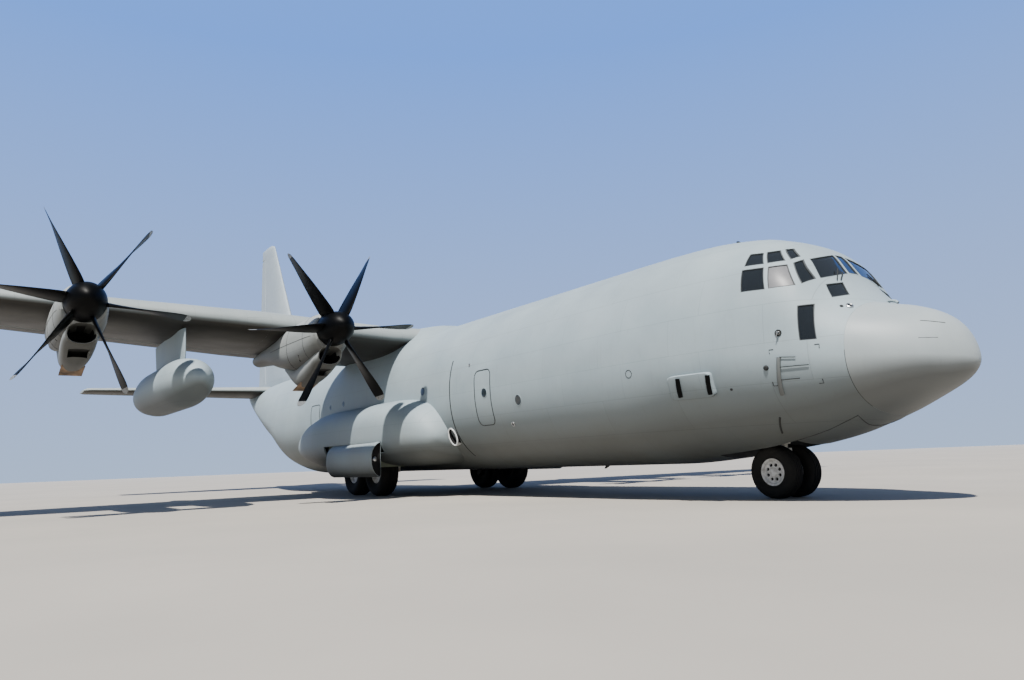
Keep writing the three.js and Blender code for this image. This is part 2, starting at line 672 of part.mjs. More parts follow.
// The leading edge comes first; a feathered blade points it forward.
const BLADE_SHAPE = [[0.5, 0], [0.15, -0.5], [-0.5, -0.07], [-0.5, 0.07], [0.15, 0.5]];
const BLADES = 6;
const HUB = { radius: 240, front: -150, back: 150 };
const SPINNER_PROFILE = [
  // radius, distance behind the disc
  [0, -600], [180, -550], [318, -410], [397, -200], [SPINNER_RADIUS, 30], [SPINNER_RADIUS, 270], [0, 270],
];
function propeller([, y, disc, z], phase) {
  const middle = atStation(disc, y, z);
  const hub = rod(atStation(disc + HUB.back, y, z), atStation(disc + HUB.front, y, z), HUB.radius, 8);
  let blades = hub;
  let roots = rod(atStation(disc + HUB.back + 2, y, z), atStation(disc + HUB.front - 2, y, z), HUB.radius + 2, 8);
  for (let i = 0; i < BLADES; i++) {
    const turn = deg(phase + (i * 360) / BLADES);
    const out = V(0, -Math.sin(turn), Math.cos(turn));
    const round = new THREE.Vector3().crossVectors(V(1, 0, 0), out);
    const rings = BLADE_TABLE.map(([radius, chord, thick, pitch]) => {
      const along = round.clone().multiplyScalar(Math.cos(deg(pitch))).addScaledVector(V(1, 0, 0), Math.sin(deg(pitch)));
      const over = new THREE.Vector3().crossVectors(out, along);
      return BLADE_SHAPE.map(([c, t]) =>
        middle.clone().addScaledVector(out, radius)
          .addScaledVector(along, c * chord).addScaledVector(over, t * thick),
      );
    });
    blades = blades.add(loft(rings));
    roots = roots.add(
      rod(middle.clone().addScaledVector(out, 150), middle.clone().addScaledVector(out, 600), 100, 6),
    );
  }
  const bore = rod(
    atStation(disc + 400, y, z), atStation(disc + 100, y, z), boreFor(SHAFT_RADIUS, SEAT_GAP, 18), 18,
  );
  const spinner = turned(SPINNER_PROFILE, middle, V(-1, 0, 0), 14).subtract(roots).subtract(bore);
  return { blades: blades.subtract(bore), spinner };
}

const PHASES = { outer_left: -24, inner_left: -35, inner_right: 35, outer_right: 24 };
for (const engine of ENGINES) {
  const [name] = engine;
  const { blades, spinner } = propeller(engine, PHASES[name]);
  piece(`nacelle_${name}`, nacelle(engine), "painted_skin");
  piece(`propeller_${name}`, blades, "blade_black");
  piece(`spinner_${name}`, spinner, "blade_black");
}

// External tanks on their pylons
const TANK = { y: 7620, z: 2960, nose: 12900, length: 7250, radius: 595 };
const TANK_PROFILE = [
  // share of the radius, share of the length
  [0, 0], [0.3, 0.012], [0.6, 0.05], [0.85, 0.12], [1, 0.24], [1, 0.6], [0.86, 0.74], [0.6, 0.87], [0.28, 0.965], [0, 1],
];
const PYLON_TABLE = [
  // height, leading edge station, trailing edge station
  [TANK.z, 14750, 17700],
  [3700, 14500, 18000],
  [4900, 14650, 18400],
];
const pylonRing = ([z, lead, trail]) => {
  const chord = trail - lead;
  return [[0, 0], [0.12, 85], [0.35, 110], [0.7, 80], [1, 8], [1, -8], [0.7, -80], [0.35, -110], [0.12, -85]].map(
    ([x, y]) => atStation(lead + x * chord, TANK.y + y, z),
  );
};
const tank = joined(
  turned(
    TANK_PROFILE.map(([r, d]) => [r * TANK.radius, d * TANK.length]),
    atStation(TANK.nose, TANK.y, TANK.z), V(-1, 0, 0), 16,
  ),
  loft(PYLON_TABLE.map(pylonRing)),
);
const hungTank = largest(tank.subtract(wholeWingGrown));
piece("external_tank_left", hungTank, "painted_skin");
piece("external_tank_right", mirrored(hungTank), "painted_skin");

// Sponsons round the main wheels
const SPONSON_TABLE = [
  // station, top, bottom, outermost y, fullness
  [11050, 1480, 1120, 2170, 2.2],
  [11300, 1740, 980, 2330, 2.2],
  [11750, 2070, 880, 2540, 2.3],
  [12400, 2370, 820, 2780, 2.5],
  [13300, 2560, 795, 2960, 2.8],
  [14100, 2600, 790, 3020, 3],
  [17800, 2590, 790, 3030, 3],
  [19400, 2430, 860, 2870, 2.8],
  [20700, 2100, 1040, 2570, 2.5],
  [21500, 1820, 1240, 2260, 2.3],
];
const SPONSON_INNER = 1500;
const sponsonRing = ([s, top, bottom, outer, fullness]) =>
  crossRing(s, SPONSON_INNER, (top + bottom) / 2, outer - SPONSON_INNER, (top - bottom) / 2, fullness, 28);
const DOOR_LINE = 1450;
const GEAR_DOOR_FROM = 13480;
const sponson = largest(
  loft(SPONSON_TABLE.map(sponsonRing))
    .subtract(hullGrown)
    .subtract(box(MAIN_WELL.from, MAIN_WELL.to, 1000, MAIN_WELL.outer, 0, MAIN_WELL.roof))
    .subtract(box(MAIN_WELL.from, MAIN_WELL.to, 1000, 3400, 0, DOOR_LINE))
    .subtract(box(GEAR_DOOR_FROM - SEAT_GAP, MAIN_WELL.to, MAIN_WELL.outer, 3400, 0, DOOR_LINE)),
);
const gearDoor = loft(
  [GEAR_DOOR_FROM, 16560].map((s) =>
    [
      [3020, DOOR_LINE - SEAT_GAP], [3150, 1330], [3230, 1130], [3230, 860], [3140, 640], [3000, 540],
      [3000, 600], [3090, 680], [3168, 870], [3168, 1120], [3100, 1290], [2980, 1390], [2965, DOOR_LINE - SEAT_GAP],
    ].map(([y, z]) => atStation(s, y, z)),
  ),
);
for (const [side, place] of [["left", (s) => s], ["right", mirrored]]) {
  piece(`sponson_${side}`, place(sponson), "painted_skin");
  piece(`main_gear_door_${side}`, place(gearDoor), "painted_skin");
}

// Main undercarriage: two wheels in line on each side
const AXLE_RADIUS = 60;
const TYRE_SHAPE = [
  // share of the radius, share of the half width
  [0, 0.74], [0.55, 0.78], [0.8, 1], [0.95, 0.78], [1, 0.35],
];
function wheelPair(size, centre) {
  const { radius, width, rim } = size;
  const half = width / 2;
  const profile = [
    ...TYRE_SHAPE.map(([r, w]) => [r * radius, w * half]),
    ...[...TYRE_SHAPE].reverse().map(([r, w]) => [r * radius, -w * half]),
  ].reverse();
  const tyre = turned(profile, centre, V(0, 1, 0), 18).subtract(
    rod(centre.clone().add(V(0, -half, 0)), centre.clone().add(V(0, half, 0)), rim + SEAT_GAP, 14),
  );
  const face = half * 0.72;
  const hub = turned(
    [
      [0, -face * 0.6], [rim * 0.84, -face * 0.6], [rim * 0.9, -face], [rim, -face],
      [rim, face], [rim * 0.9, face], [rim * 0.84, face * 0.5], [0, face * 0.72],
    ],
    centre, V(0, 1, 0), 14,
  );
  return { tyre, hub };
}

const MAIN_Y = MAIN_TRACK / 2;
const MAIN_STATIONS = [["front", MAIN_GEAR_S - TANDEM / 2], ["rear", MAIN_GEAR_S + TANDEM / 2]];
const STRUT_Y = 1745;
let leg = null;
for (const [, s] of MAIN_STATIONS) {
  const part = joined(
    rod(atStation(s, STRUT_Y, 640), atStation(s, STRUT_Y, MAIN_WELL.roof - SEAT_GAP), 95, 12),
    rod(atStation(s, STRUT_Y, 1250), atStation(s, STRUT_Y, MAIN_WELL.roof - SEAT_GAP), 130, 12),
    rod(atStation(s, STRUT_Y, MAIN_TYRE.radius), atStation(s, MAIN_Y + 150, MAIN_TYRE.radius), AXLE_RADIUS, 12),
  );
  leg = leg ? leg.add(part) : part;
}
leg = leg.add(
  rod(atStation(MAIN_STATIONS[0][1], STRUT_Y, 900), atStation(MAIN_STATIONS[1][1], STRUT_Y, 900), 55, 8),
);
for (const [side, place, sign] of [["left", (s) => s, 1], ["right", mirrored, -1]]) {
  piece(`main_gear_leg_${side}`, place(leg), "gear_white");
  for (const [end, s] of MAIN_STATIONS) {
    const centreOf = atStation(s, MAIN_Y, MAIN_TYRE.radius);
    const { tyre, hub } = wheelPair(MAIN_TYRE, centreOf);
    const bore = rod(
      centreOf.clone().add(V(0, -400, 0)), centreOf.clone().add(V(0, 160, 0)), boreFor(AXLE_RADIUS, SEAT_GAP, 18), 18,
    );
    piece(`main_tyre_${end}_${side}`, place(tyre), "tyre_rubber");
    piece(`main_hub_${end}_${side}`, place(hub.subtract(bore)), "wheel_metal");
  }
}

// Nose undercarriage
const noseAt = (y, z) => atStation(NOSE_GEAR_S, y, z);
const PISTON = 68;
const NOSE_AXLE = 50;
let noseLeg = rod(noseAt(0, 930), noseAt(0, NOSE_WELL.roof - SEAT_GAP), 115, 18).subtract(
  rod(noseAt(0, 900), noseAt(0, 1330), boreFor(PISTON, SEAT_GAP, 18), 18),
);
noseLeg = noseLeg.add(rod(noseAt(0, 1400), atStation(4120, 0, NOSE_WELL.roof - 60), 50, 12));
piece("nose_gear_leg", noseLeg, "gear_white");
const fork = joined(
  rod(noseAt(0, 500), noseAt(0, 1310), PISTON, 18),
  rod(noseAt(-95, NOSE_TYRE.radius), noseAt(95, NOSE_TYRE.radius), 105, 18),
  box(NOSE_GEAR_S - 130, NOSE_GEAR_S - 40, -45, 45, 500, 860),
).subtract(rod(noseAt(-200, NOSE_TYRE.radius), noseAt(200, NOSE_TYRE.radius), boreFor(NOSE_AXLE, SEAT_GAP, 16), 16));
piece("nose_steering_fork", fork, "gear_white");
const hubLeft = wheelPair(NOSE_TYRE, noseAt(NOSE_TYRE.track / 2, NOSE_TYRE.radius));
const noseAxle = rod(noseAt(-250, NOSE_TYRE.radius), noseAt(250, NOSE_TYRE.radius), NOSE_AXLE, 16);
piece("nose_hubs", joined(hubLeft.hub, mirrored(hubLeft.hub), noseAxle), "wheel_metal");
piece("nose_tyre_left", hubLeft.tyre, "tyre_rubber");
piece("nose_tyre_right", mirrored(hubLeft.tyre), "tyre_rubber");

// Tail
const FIN_TABLE = [
  // height, leading edge station, trailing edge station, thickness share
  [4300, 23900, 33550, 0.06],
  [5350, 27500, 33480, 0.1],
  [11500, 31260, 33240, 0.1],
  [FIN_TOP, 31750, 33120, 0.06],
];
const finRing = ([z, lead, trail, thickness]) =>
  aerofoil(thickness, 0, 7).map(([x, h]) => atStation(lead + x * (trail - lead), h * (trail - lead), z));
const finHollow = loft(
  FIN_TABLE.slice(0, 3).map(([z, lead, trail, thickness]) =>
    sparBox(thickness, trail - lead).map(([x, h]) => atStation(lead + x * (trail - lead), h * (trail - lead), z - 40)),
  ),
);
const finBlank = loft(FIN_TABLE.map(finRing)).subtract(hullGrown).subtract(finHollow);
const rudderFrom = atStation(32080, 0, 4950);
const rudderTo = atStation(32640, 0, 11330);
const rudderLine = rudderTo.clone().sub(rudderFrom).normalize();
const rudderAcross = across(rudderLine);
const rudderCut = hinged(largest(finBlank), rudderFrom, rudderTo, rudderAcross.aft, rudderAcross.up, 78, 36);
piece("fin", largest(rudderCut.panel), "painted_skin");
piece("rudder", largest(rudderCut.surface), "painted_skin");

const TAILPLANE_TABLE = [
  // y, leading edge station, chord, thickness share
  [300, TAILPLANE_ROOT.lead - 40, TAILPLANE_ROOT.chord + 60, 0.12],
  [TAILPLANE_HALF_SPAN - 150, TAILPLANE_TIP.lead, TAILPLANE_TIP.chord, 0.11],
  [TAILPLANE_HALF_SPAN, TAILPLANE_TIP.lead + 260, TAILPLANE_TIP.chord - 520, 0.06],
];
const tailRing = ([y, lead, chord, thickness]) =>
  aerofoil(thickness, 0, 7).map(([x, h]) => atStation(lead + x * chord, y, TAILPLANE_Z - h * chord));
const tailHollow = loft(
  TAILPLANE_TABLE.slice(0, 2).map(([y, lead, chord, thickness]) =>
    sparBox(thickness, chord).map(([x, h]) => atStation(lead + x * chord, y - 60, TAILPLANE_Z - h * chord)),
  ),
);
const tailBlank = largest(loft(TAILPLANE_TABLE.map(tailRing)).subtract(hullGrown).subtract(tailHollow));
const elevatorFrom = atStation(TAILPLANE_ROOT.lead + 2830, 1220, TAILPLANE_Z);
const elevatorTo = atStation(TAILPLANE_TIP.lead + 1360, TAILPLANE_HALF_SPAN - 260, TAILPLANE_Z);
const elevatorAcross = across(elevatorTo.clone().sub(elevatorFrom).normalize());
const elevatorCut = hinged(tailBlank, elevatorFrom, elevatorTo, elevatorAcross.aft, elevatorAcross.up, 85, 42);
for (const [side, place] of [["left", (s) => s], ["right", mirrored]]) {
  piece(`tailplane_${side}`, place(largest(elevatorCut.panel)), "painted_skin");
  piece(`elevator_${side}`, place(largest(elevatorCut.surface)), "painted_skin");
}

// The model
const FINISHES = {
  painted_skin: 0x9a9fa1,
  blade_black: 0x1c1d1f,
  tyre_rubber: 0x17181a,
  wheel_metal: 0xc9ccce,
  gear_white: 0xd6d8d8,
  window_glass: 0x24303a,
  cabin_trim: 0x4c5158,
  floor_metal: 0x7d8184,
};
const model = new THREE.Group();
model.name = "transport_plane";
model.scale.setScalar(MODEL_SCALE);
const finishes = Object.fromEntries(
  Object.entries(FINISHES).map(([name, color]) => [name, new THREE.MeshStandardMaterial({ name, color })]),
);
for (const [name, solid, finish] of pieces) {
  const mesh = new THREE.Mesh(geometryOf(solid), finishes[finish]);
  mesh.name = name;
  model.add(mesh);
}

export default model;
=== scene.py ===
import math

import bmesh
import bpy
from mathutils import Matrix, Vector


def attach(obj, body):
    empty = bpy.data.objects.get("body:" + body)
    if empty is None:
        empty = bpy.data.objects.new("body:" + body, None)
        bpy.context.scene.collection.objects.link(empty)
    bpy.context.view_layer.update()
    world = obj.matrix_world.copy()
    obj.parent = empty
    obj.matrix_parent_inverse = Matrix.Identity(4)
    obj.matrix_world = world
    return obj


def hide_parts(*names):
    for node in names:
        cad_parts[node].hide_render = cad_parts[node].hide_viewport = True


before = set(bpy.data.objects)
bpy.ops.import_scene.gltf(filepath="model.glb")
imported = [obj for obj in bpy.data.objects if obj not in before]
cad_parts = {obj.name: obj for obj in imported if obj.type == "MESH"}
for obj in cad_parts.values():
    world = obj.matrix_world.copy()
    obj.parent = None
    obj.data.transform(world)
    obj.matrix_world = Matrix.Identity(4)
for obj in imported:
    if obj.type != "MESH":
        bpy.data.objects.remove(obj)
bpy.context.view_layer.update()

# Camera
# A wide lens near the ground, ahead of the starboard wing tip and a little rolled, as the aircraft is seen
# from eye height. Every length of the real aircraft is given in full-size millimetres and halved.
HEADING, PITCH, ROLL = math.radians(35.38), math.radians(8.972), math.radians(-2.188)
CAMERA_PLACE = Vector((11.1505, -5.9155, 0.4025))
LENS_MM = 27.062
UP = Vector((0, 0, 1))
abeam = Vector((math.sin(HEADING), math.cos(HEADING), 0))
level = Vector((-math.cos(HEADING), math.sin(HEADING), 0))
looking = level * math.cos(PITCH) + UP * math.sin(PITCH)
rising = UP * math.cos(PITCH) - level * math.sin(PITCH)
right = abeam * math.cos(ROLL) + rising * math.sin(ROLL)
upright = rising * math.cos(ROLL) - abeam * math.sin(ROLL)
aim = Matrix((right, upright, -looking)).transposed().to_4x4()
camera = bpy.data.objects.new("camera", bpy.data.cameras.new("camera"))
camera.data.sensor_width = 36
camera.data.lens = LENS_MM
camera.data.clip_end = 500
camera.matrix_world = Matrix.Translation(CAMERA_PLACE) @ aim
bpy.context.scene.collection.objects.link(camera)
bpy.context.scene.camera = camera


# Floor and light
# A plain pale concrete-coloured floor, a plain backdrop, a dim even dome, and one key light high ahead of
# the starboard side, so that the wing and the propellers shade the body as they do outdoors.
def linear(code):
    """An sRGB hex colour as linear red, green, blue, alpha."""
    parts = [int(code[i:i + 2], 16) / 255 for i in (1, 3, 5)]
    return tuple(c / 12.92 if c <= 0.04045 else ((c + 0.055) / 1.055) ** 2.4 for c in parts) + (1.0,)


def node(tree, kind, inputs=(), **settings):
    """One shader node with its settings, its socket values and its links."""
    made = tree.nodes.new(kind)
    for name, value in settings.items():
        setattr(made, name, value)
    for socket, value in dict(inputs).items():
        if isinstance(value, bpy.types.NodeSocket):
            tree.links.new(value, made.inputs[socket])
        else:
            made.inputs[socket].default_value = value
    return made


def blank(name):
    """A new material with an empty node tree and its output."""
    material = bpy.data.materials.new(name)
    material.use_nodes = True
    tree = material.node_tree
    tree.nodes.clear()
    return material, tree, node(tree, "ShaderNodeOutputMaterial")


def ramped(tone, codes, stops=(0.0, 1.0)):
    """Sets a colour ramp's two colours and where they stand."""
    for end, code, stop in zip(tone.color_ramp.elements, codes, stops):
        end.position, end.color = stop, linear(code)


def laid(name, form, paint):
    """Makes an object that isn't part of the aircraft."""
    mesh = bpy.data.meshes.new(name)
    form.to_mesh(mesh)
    form.free()
    mesh.materials.append(paint)
    made = bpy.data.objects.new(name, mesh)
    bpy.context.scene.collection.objects.link(made)
    return made


FLOOR_HALF = 150
floor_paint, tree, out = blank("pale_floor")
places = node(tree, "ShaderNodeTexCoord").outputs["Object"]
cloudy = node(tree, "ShaderNodeTexNoise", {"Vector": places, "Scale": 0.35, "Detail": 5.0, "Roughness": 0.6})
tone = node(tree, "ShaderNodeValToRGB", {"Fac": cloudy.outputs["Fac"]})
ramped(tone, ("#A39E95", "#AFA99F"), (0.3, 0.7))
shader = node(tree, "ShaderNodeBsdfPrincipled", {"Base Color": tone.outputs["Color"], "Roughness": 0.9})
tree.links.new(shader.outputs["BSDF"], out.inputs["Surface"])
form = bmesh.new()
bmesh.ops.create_grid(form, x_segments=2, y_segments=2, size=FLOOR_HALF)
floor = laid("floor", form, floor_paint)

# A plain curved backdrop far behind the aircraft, lit evenly: pale near the floor and bluer above.
BACKDROP_RADIUS, BACKDROP_TOP, PALE_TO = 147, 110, 90.0
backdrop_paint, tree, out = blank("pale_blue_backdrop")
places = node(tree, "ShaderNodeTexCoord").outputs["Object"]
height = node(tree, "ShaderNodeSeparateXYZ", {"Vector": places})
share = node(tree, "ShaderNodeMapRange", {"Value": height.outputs["Z"], "From Min": 0.0, "From Max": PALE_TO})
tone = node(tree, "ShaderNodeValToRGB", {"Fac": share.outputs["Result"]})
ramped(tone, ("#A3B9DA", "#6599F5"))
glow = node(tree, "ShaderNodeEmission", {"Color": tone.outputs["Color"], "Strength": 1.4})
tree.links.new(glow.outputs["Emission"], out.inputs["Surface"])
form = bmesh.new()
turns = [math.radians(a) for a in range(74, 216, 4)]
foot = [form.verts.new((BACKDROP_RADIUS * math.cos(a), BACKDROP_RADIUS * math.sin(a), -0.5)) for a in turns]
bent = [form.edges.new(pair) for pair in zip(foot, foot[1:])]
for v in bmesh.ops.extrude_edge_only(form, edges=bent)["geom"]:
    if isinstance(v, bmesh.types.BMVert):
        v.co.z = BACKDROP_TOP
backdrop = laid("backdrop", form, backdrop_paint)

KEY_COMES_FROM = Vector((0.30, -0.37, 0.88))
dome = bpy.data.worlds.new("dome")
dome.use_nodes = True
dome.node_tree.nodes["Background"].inputs["Color"].default_value = linear("#B6C9EA")
dome.node_tree.nodes["Background"].inputs["Strength"].default_value = 0.42
bpy.context.scene.world = dome
key = bpy.data.objects.new("key_light", bpy.data.lights.new("key_light", "SUN"))
key.data.energy = 7.8
key.data.angle = math.radians(1.2)
key.data.color = (1.0, 0.965, 0.91)
key.rotation_mode = "QUATERNION"
key.rotation_quaternion = KEY_COMES_FROM.to_track_quat("Z", "Y")
bpy.context.scene.collection.objects.link(key)


# Nose radome
# The real one is a moulded glass-fibre cover over the radar, sprayed with a matte rain-erosion coat and
# held to the flight-deck frame round its rim. It has no rivets and stays smoother than the metal behind it.
FULL_SIZE = 2000  # full-size millimetres in a metre of the model
NOSE_TIP = 17185


def at(s, y, z):
    """A place: s behind the nose tip, y to port, z above the ground, in full-size millimetres."""
    return Vector(((NOSE_TIP - s) / FULL_SIZE, y / FULL_SIZE, z / FULL_SIZE))


def station(place):
    """How far behind the nose tip a place lies, in full-size millimetres."""
    return NOSE_TIP - place.x * FULL_SIZE


def faired(rows, warp=float):
    """Reads a table of sections at any station along a smooth curve that never overshoots its rows."""
    keys = [warp(row[0]) for row in rows]
    slopes = []
    for k in range(1, len(rows[0])):
        rise = [(b[k] - a[k]) / (v - u) for a, b, u, v in zip(rows, rows[1:], keys, keys[1:])]
        middle = [0 if p * q <= 0 else 2 * p * q / (p + q) for p, q in zip(rise, rise[1:])]
        slopes.append([rise[0], *middle, rise[-1]])

    def read(station):
        v = min(max(warp(station), keys[0]), keys[-1])
        i = max(j for j in range(len(rows) - 1) if keys[j] <= v)
        h = keys[i + 1] - keys[i]
        t = (v - keys[i]) / h
        return [
            rows[i][k] * (2 * t**3 - 3 * t**2 + 1) + h * m[i] * (t**3 - 2 * t**2 + t)
            + rows[i + 1][k] * (3 * t**2 - 2 * t**3) + h * m[i + 1] * (t**3 - t**2)
            for k, m in enumerate(slopes, 1)
        ]

    return read


HULL_SECTIONS = [
    # station, top, belly, half width, height of the widest line, upper and lower fullness
    (0, 2060, 2040, 10, 2050, 2, 2), (30, 2240, 1930, 190, 2060, 2, 2), (130, 2490, 1820, 410, 2080, 2, 2),
    (350, 2735, 1680, 740, 2110, 2, 2), (750, 2935, 1500, 1070, 2150, 2.1, 2.1),
    (1230, 3075, 1300, 1330, 2210, 2.3, 2.2), (1420, 3255, 1230, 1410, 2240, 2.15, 2.2),
    (1600, 3470, 1165, 1480, 2270, 2.2, 2.2), (1750, 3700, 1115, 1545, 2310, 2.3, 2.2),
    (1950, 4000, 1050, 1625, 2350, 2.45, 2.2), (2300, 4272, 965, 1740, 2400, 2.6, 2.2),
    (2700, 4440, 890, 1850, 2440, 2.45, 2.2), (3100, 4570, 820, 1930, 2480, 2.2, 2.2),
    (4200, 4710, 715, 2080, 2550, 2.1, 2.2), (5600, 4750, 630, 2160, 2590, 2, 2.45),
    (13600, 4750, 630, 2160, 2590, 2, 2.45), (14500, 4900, 630, 2160, 2590, 2.5, 2.45),
    (15800, 4970, 630, 2160, 2590, 2.65, 2.45), (17600, 4930, 630, 2160, 2590, 2.6, 2.45),
    (19700, 4750, 630, 2160, 2590, 2, 2.45), (23200, 4750, 630, 2160, 2590, 2, 2.45),
    (24400, 4750, 800, 2120, 2640, 2, 2.45), (26400, 4740, 1660, 1930, 2870, 2, 2.1),
    (28600, 4710, 2560, 1590, 3330, 2, 2.1), (30800, 4660, 3430, 1180, 3880, 2, 2.3),
    (33000, 4620, 4110, 640, 4340, 2, 2.1), (34370, 4600, 4400, 150, 4510, 2, 2),
]
hull_at = faired(HULL_SECTIONS, math.sqrt)


def rounded(turn, half_wide, half_high, fullness):
    """A place on a rounded-box outline, as its distance sideways and upwards from the middle."""
    c, d = math.cos(turn), math.sin(turn)
    return (
        math.copysign(abs(c) ** (2 / fullness), c) * half_wide,
        math.copysign(abs(d) ** (2 / fullness), d) * half_high,
    )


def hull_ring(s, count=112):
    top, belly, half, middle, upper, lower = hull_at(s)
    ring = []
    for i in range(count):
        turn = 2 * math.pi * i / count
        over = math.sin(turn) > 0
        y, z = rounded(turn, half, top - middle if over else middle - belly, upper if over else lower)
        ring.append(at(s, y, middle + z))
    return ring


def hull_side(s, z, side=-1):
    """How far out the skin lies at a station and height."""
    top, belly, half, middle, upper, lower = hull_at(s)
    share = (z - middle) / (top - middle if z > middle else middle - belly)
    power = upper if z > middle else lower
    return side * half * max(0.0, 1 - min(1.0, abs(share)) ** power) ** (1 / power)


def skinned(rings):
    """A grid bent round rings of places and welded at its seam."""
    form = bmesh.new()
    along, round_ = len(rings) - 1, len(rings[0])
    for v in bmesh.ops.create_grid(form, x_segments=along, y_segments=round_, size=1.0)["verts"]:
        i = round((v.co.x + 1) / 2 * along)
        j = round((v.co.y + 1) / 2 * round_)
        v.co = rings[i][j % round_]
    bmesh.ops.remove_doubles(form, verts=form.verts, dist=1e-6)
    return form


def closed(form):
    bmesh.ops.holes_fill(form, edges=[e for e in form.edges if e.is_boundary], sides=0)
    bmesh.ops.recalc_face_normals(form, faces=form.faces)
    return form


def finished(name, form, finishes, body="airframe", stands_for=(), crease=38):
    """Makes the object, shades it smooth up to its creases, and puts it on its body."""
    for f in form.faces:
        f.smooth = True
    for e in form.edges:
        e.smooth = not e.is_boundary and e.calc_face_angle(0) < math.radians(crease)
    mesh = bpy.data.meshes.new(name)
    form.to_mesh(mesh)
    form.free()
    for material in finishes:
        mesh.materials.append(material)
    made = bpy.data.objects.new(name, mesh)
    bpy.context.scene.collection.objects.link(made)
    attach(made, body)
    if stands_for:
        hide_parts(*stands_for)
    return made


def span(low, high, step):
    count = max(1, math.ceil((high - low) / step))
    return [low + (high - low) * i / count for i in range(count + 1)]


# Matte grey polyurethane aircraft paint: no gloss, a slight cloudiness from rain and cleaning, faint streaks
# that run down from the seams, brown ground dirt low on the body that is partly painted shade, and painted
# shade on whatever faces down.
def aircraft_paint(name, clean, faded, plan=False, dirt_and_low_shade=1.0, seams=1.0, rough=0.56, underside_shade=0.75):
    material, tree, out = blank(name)
    places = node(tree, "ShaderNodeTexCoord").outputs["Object"]
    axes = node(tree, "ShaderNodeSeparateXYZ", {"Vector": places})
    flat = node(tree, "ShaderNodeCombineXYZ", {
        "X": axes.outputs["X"], "Y": axes.outputs["Y"] if plan else axes.outputs["Z"]})
    cloud = node(tree, "ShaderNodeTexNoise", {
        "Vector": places, "Scale": 1.7, "Detail": 6.0, "Roughness": 0.62})
    tone = node(tree, "ShaderNodeValToRGB", {"Fac": cloud.outputs["Fac"]})
    ramped(tone, (clean, faded), (0.32, 0.68))
    # Streaks: about 30 mm wide and some 600 mm long at full size.
    drawn = node(tree, "ShaderNodeMapping", {"Vector": places, "Scale": (34, 34, 1.8)})
    streak = node(tree, "ShaderNodeTexNoise", {
        "Vector": drawn.outputs["Vector"], "Scale": 1.0, "Detail": 4.0})
    streaks = node(tree, "ShaderNodeMapRange", {
        "Value": streak.outputs["Fac"], "From Min": 0.56, "From Max": 0.8, "To Max": 0.11 * dirt_and_low_shade})
    streaked = node(tree, "ShaderNodeMix", {
        "Factor": streaks.outputs["Result"], "A": tone.outputs["Color"], "B": linear("#77756C")},
        data_type="RGBA")
    # Brown ground dirt in patches up to about 1.5 m at full size, strongest at the bottom; this darkening low
    # on the body is partly painted shade of the belly.
    height = node(tree, "ShaderNodeMapRange", {
        "Value": axes.outputs["Z"], "From Min": 0.30, "From Max": 1.15, "To Min": 0.9 * dirt_and_low_shade, "To Max": 0.0})
    low_dirt_and_shade = node(tree, "ShaderNodeMath", {
        0: height.outputs["Result"], 1: cloud.outputs["Fac"]}, operation="MULTIPLY")
    dirtied_and_shaded = node(tree, "ShaderNodeMix", {
        "Factor": low_dirt_and_shade.outputs["Value"], "A": streaked.outputs["Result"], "B": linear("#6E685A")},
        data_type="RGBA")
    # Painted shade: whatever faces down is darkened towards near-black, the more the further it faces down.
    normal = node(tree, "ShaderNodeNewGeometry").outputs["Normal"]
    facing = node(tree, "ShaderNodeSeparateXYZ", {"Vector": normal})
    below = node(tree, "ShaderNodeMapRange", {
        "Value": facing.outputs["Z"], "From Min": -0.02, "From Max": -0.7, "To Min": 0.0, "To Max": underside_shade})
    underside_shaded = node(tree, "ShaderNodeMix", {
        "Factor": below.outputs["Result"], "A": dirtied_and_shaded.outputs["Result"], "B": linear("#24221E")},
        data_type="RGBA")
    # Sheets of about 1.1 by 0.6 m at full size, with 6 mm sealed joints drawn wide enough to show.
    sheets = node(tree, "ShaderNodeTexBrick", {
        "Vector": flat.outputs["Vector"], "Color1": (1, 1, 1, 1), "Color2": (0.955, 0.955, 0.955, 1),
        "Mortar": (0.70, 0.70, 0.70, 1), "Scale": 1.0, "Mortar Size": 0.0026, "Mortar Smooth": 0.3,
        "Brick Width": 0.86, "Row Height": 0.31}, offset=0.35)
    jointed = node(tree, "ShaderNodeMix", {
        "Factor": 0.62 * seams, "A": underside_shaded.outputs["Result"], "B": sheets.outputs["Color"]},
        data_type="RGBA", blend_type="MULTIPLY")
    # Rivets stand 60 mm apart at full size, twice the real pitch, which would be too fine to show.
    rivet = node(tree, "ShaderNodeTexVoronoi", {
        "Vector": flat.outputs["Vector"], "Scale": 33.0, "Randomness": 0.0})
    heads = node(tree, "ShaderNodeMapRange", {
        "Value": rivet.outputs["Distance"], "From Min": 0.06, "From Max": 0.13, "To Min": 1.0, "To Max": 0.0})
    buckled = node(tree, "ShaderNodeTexNoise", {"Vector": places, "Scale": 4.2, "Detail": 1.0})
    wavy = node(tree, "ShaderNodeBump", {
        "Height": buckled.outputs["Fac"], "Strength": 0.22 * seams, "Distance": 0.012})
    cut = node(tree, "ShaderNodeBump", {
        "Height": sheets.outputs["Fac"], "Normal": wavy.outputs["Normal"], "Strength": 0.35 * seams,
        "Distance": 0.002}, invert=True)
    studded = node(tree, "ShaderNodeBump", {
        "Height": heads.outputs["Result"], "Normal": cut.outputs["Normal"], "Strength": 0.12 * seams,
        "Distance": 0.0006})
    dull = node(tree, "ShaderNodeMapRange", {
        "Value": cloud.outputs["Fac"], "From Min": 0.25, "From Max": 0.75, "To Min": rough - 0.06,
        "To Max": rough + 0.08})
    shader = node(tree, "ShaderNodeBsdfPrincipled", {
        "Base Color": jointed.outputs["Result"], "Roughness": dull.outputs["Result"],
        "Normal": studded.outputs["Normal"], "IOR": 1.46})
    tree.links.new(shader.outputs["BSDF"], out.inputs["Surface"])
    return material


RADOME_END = 1229.0

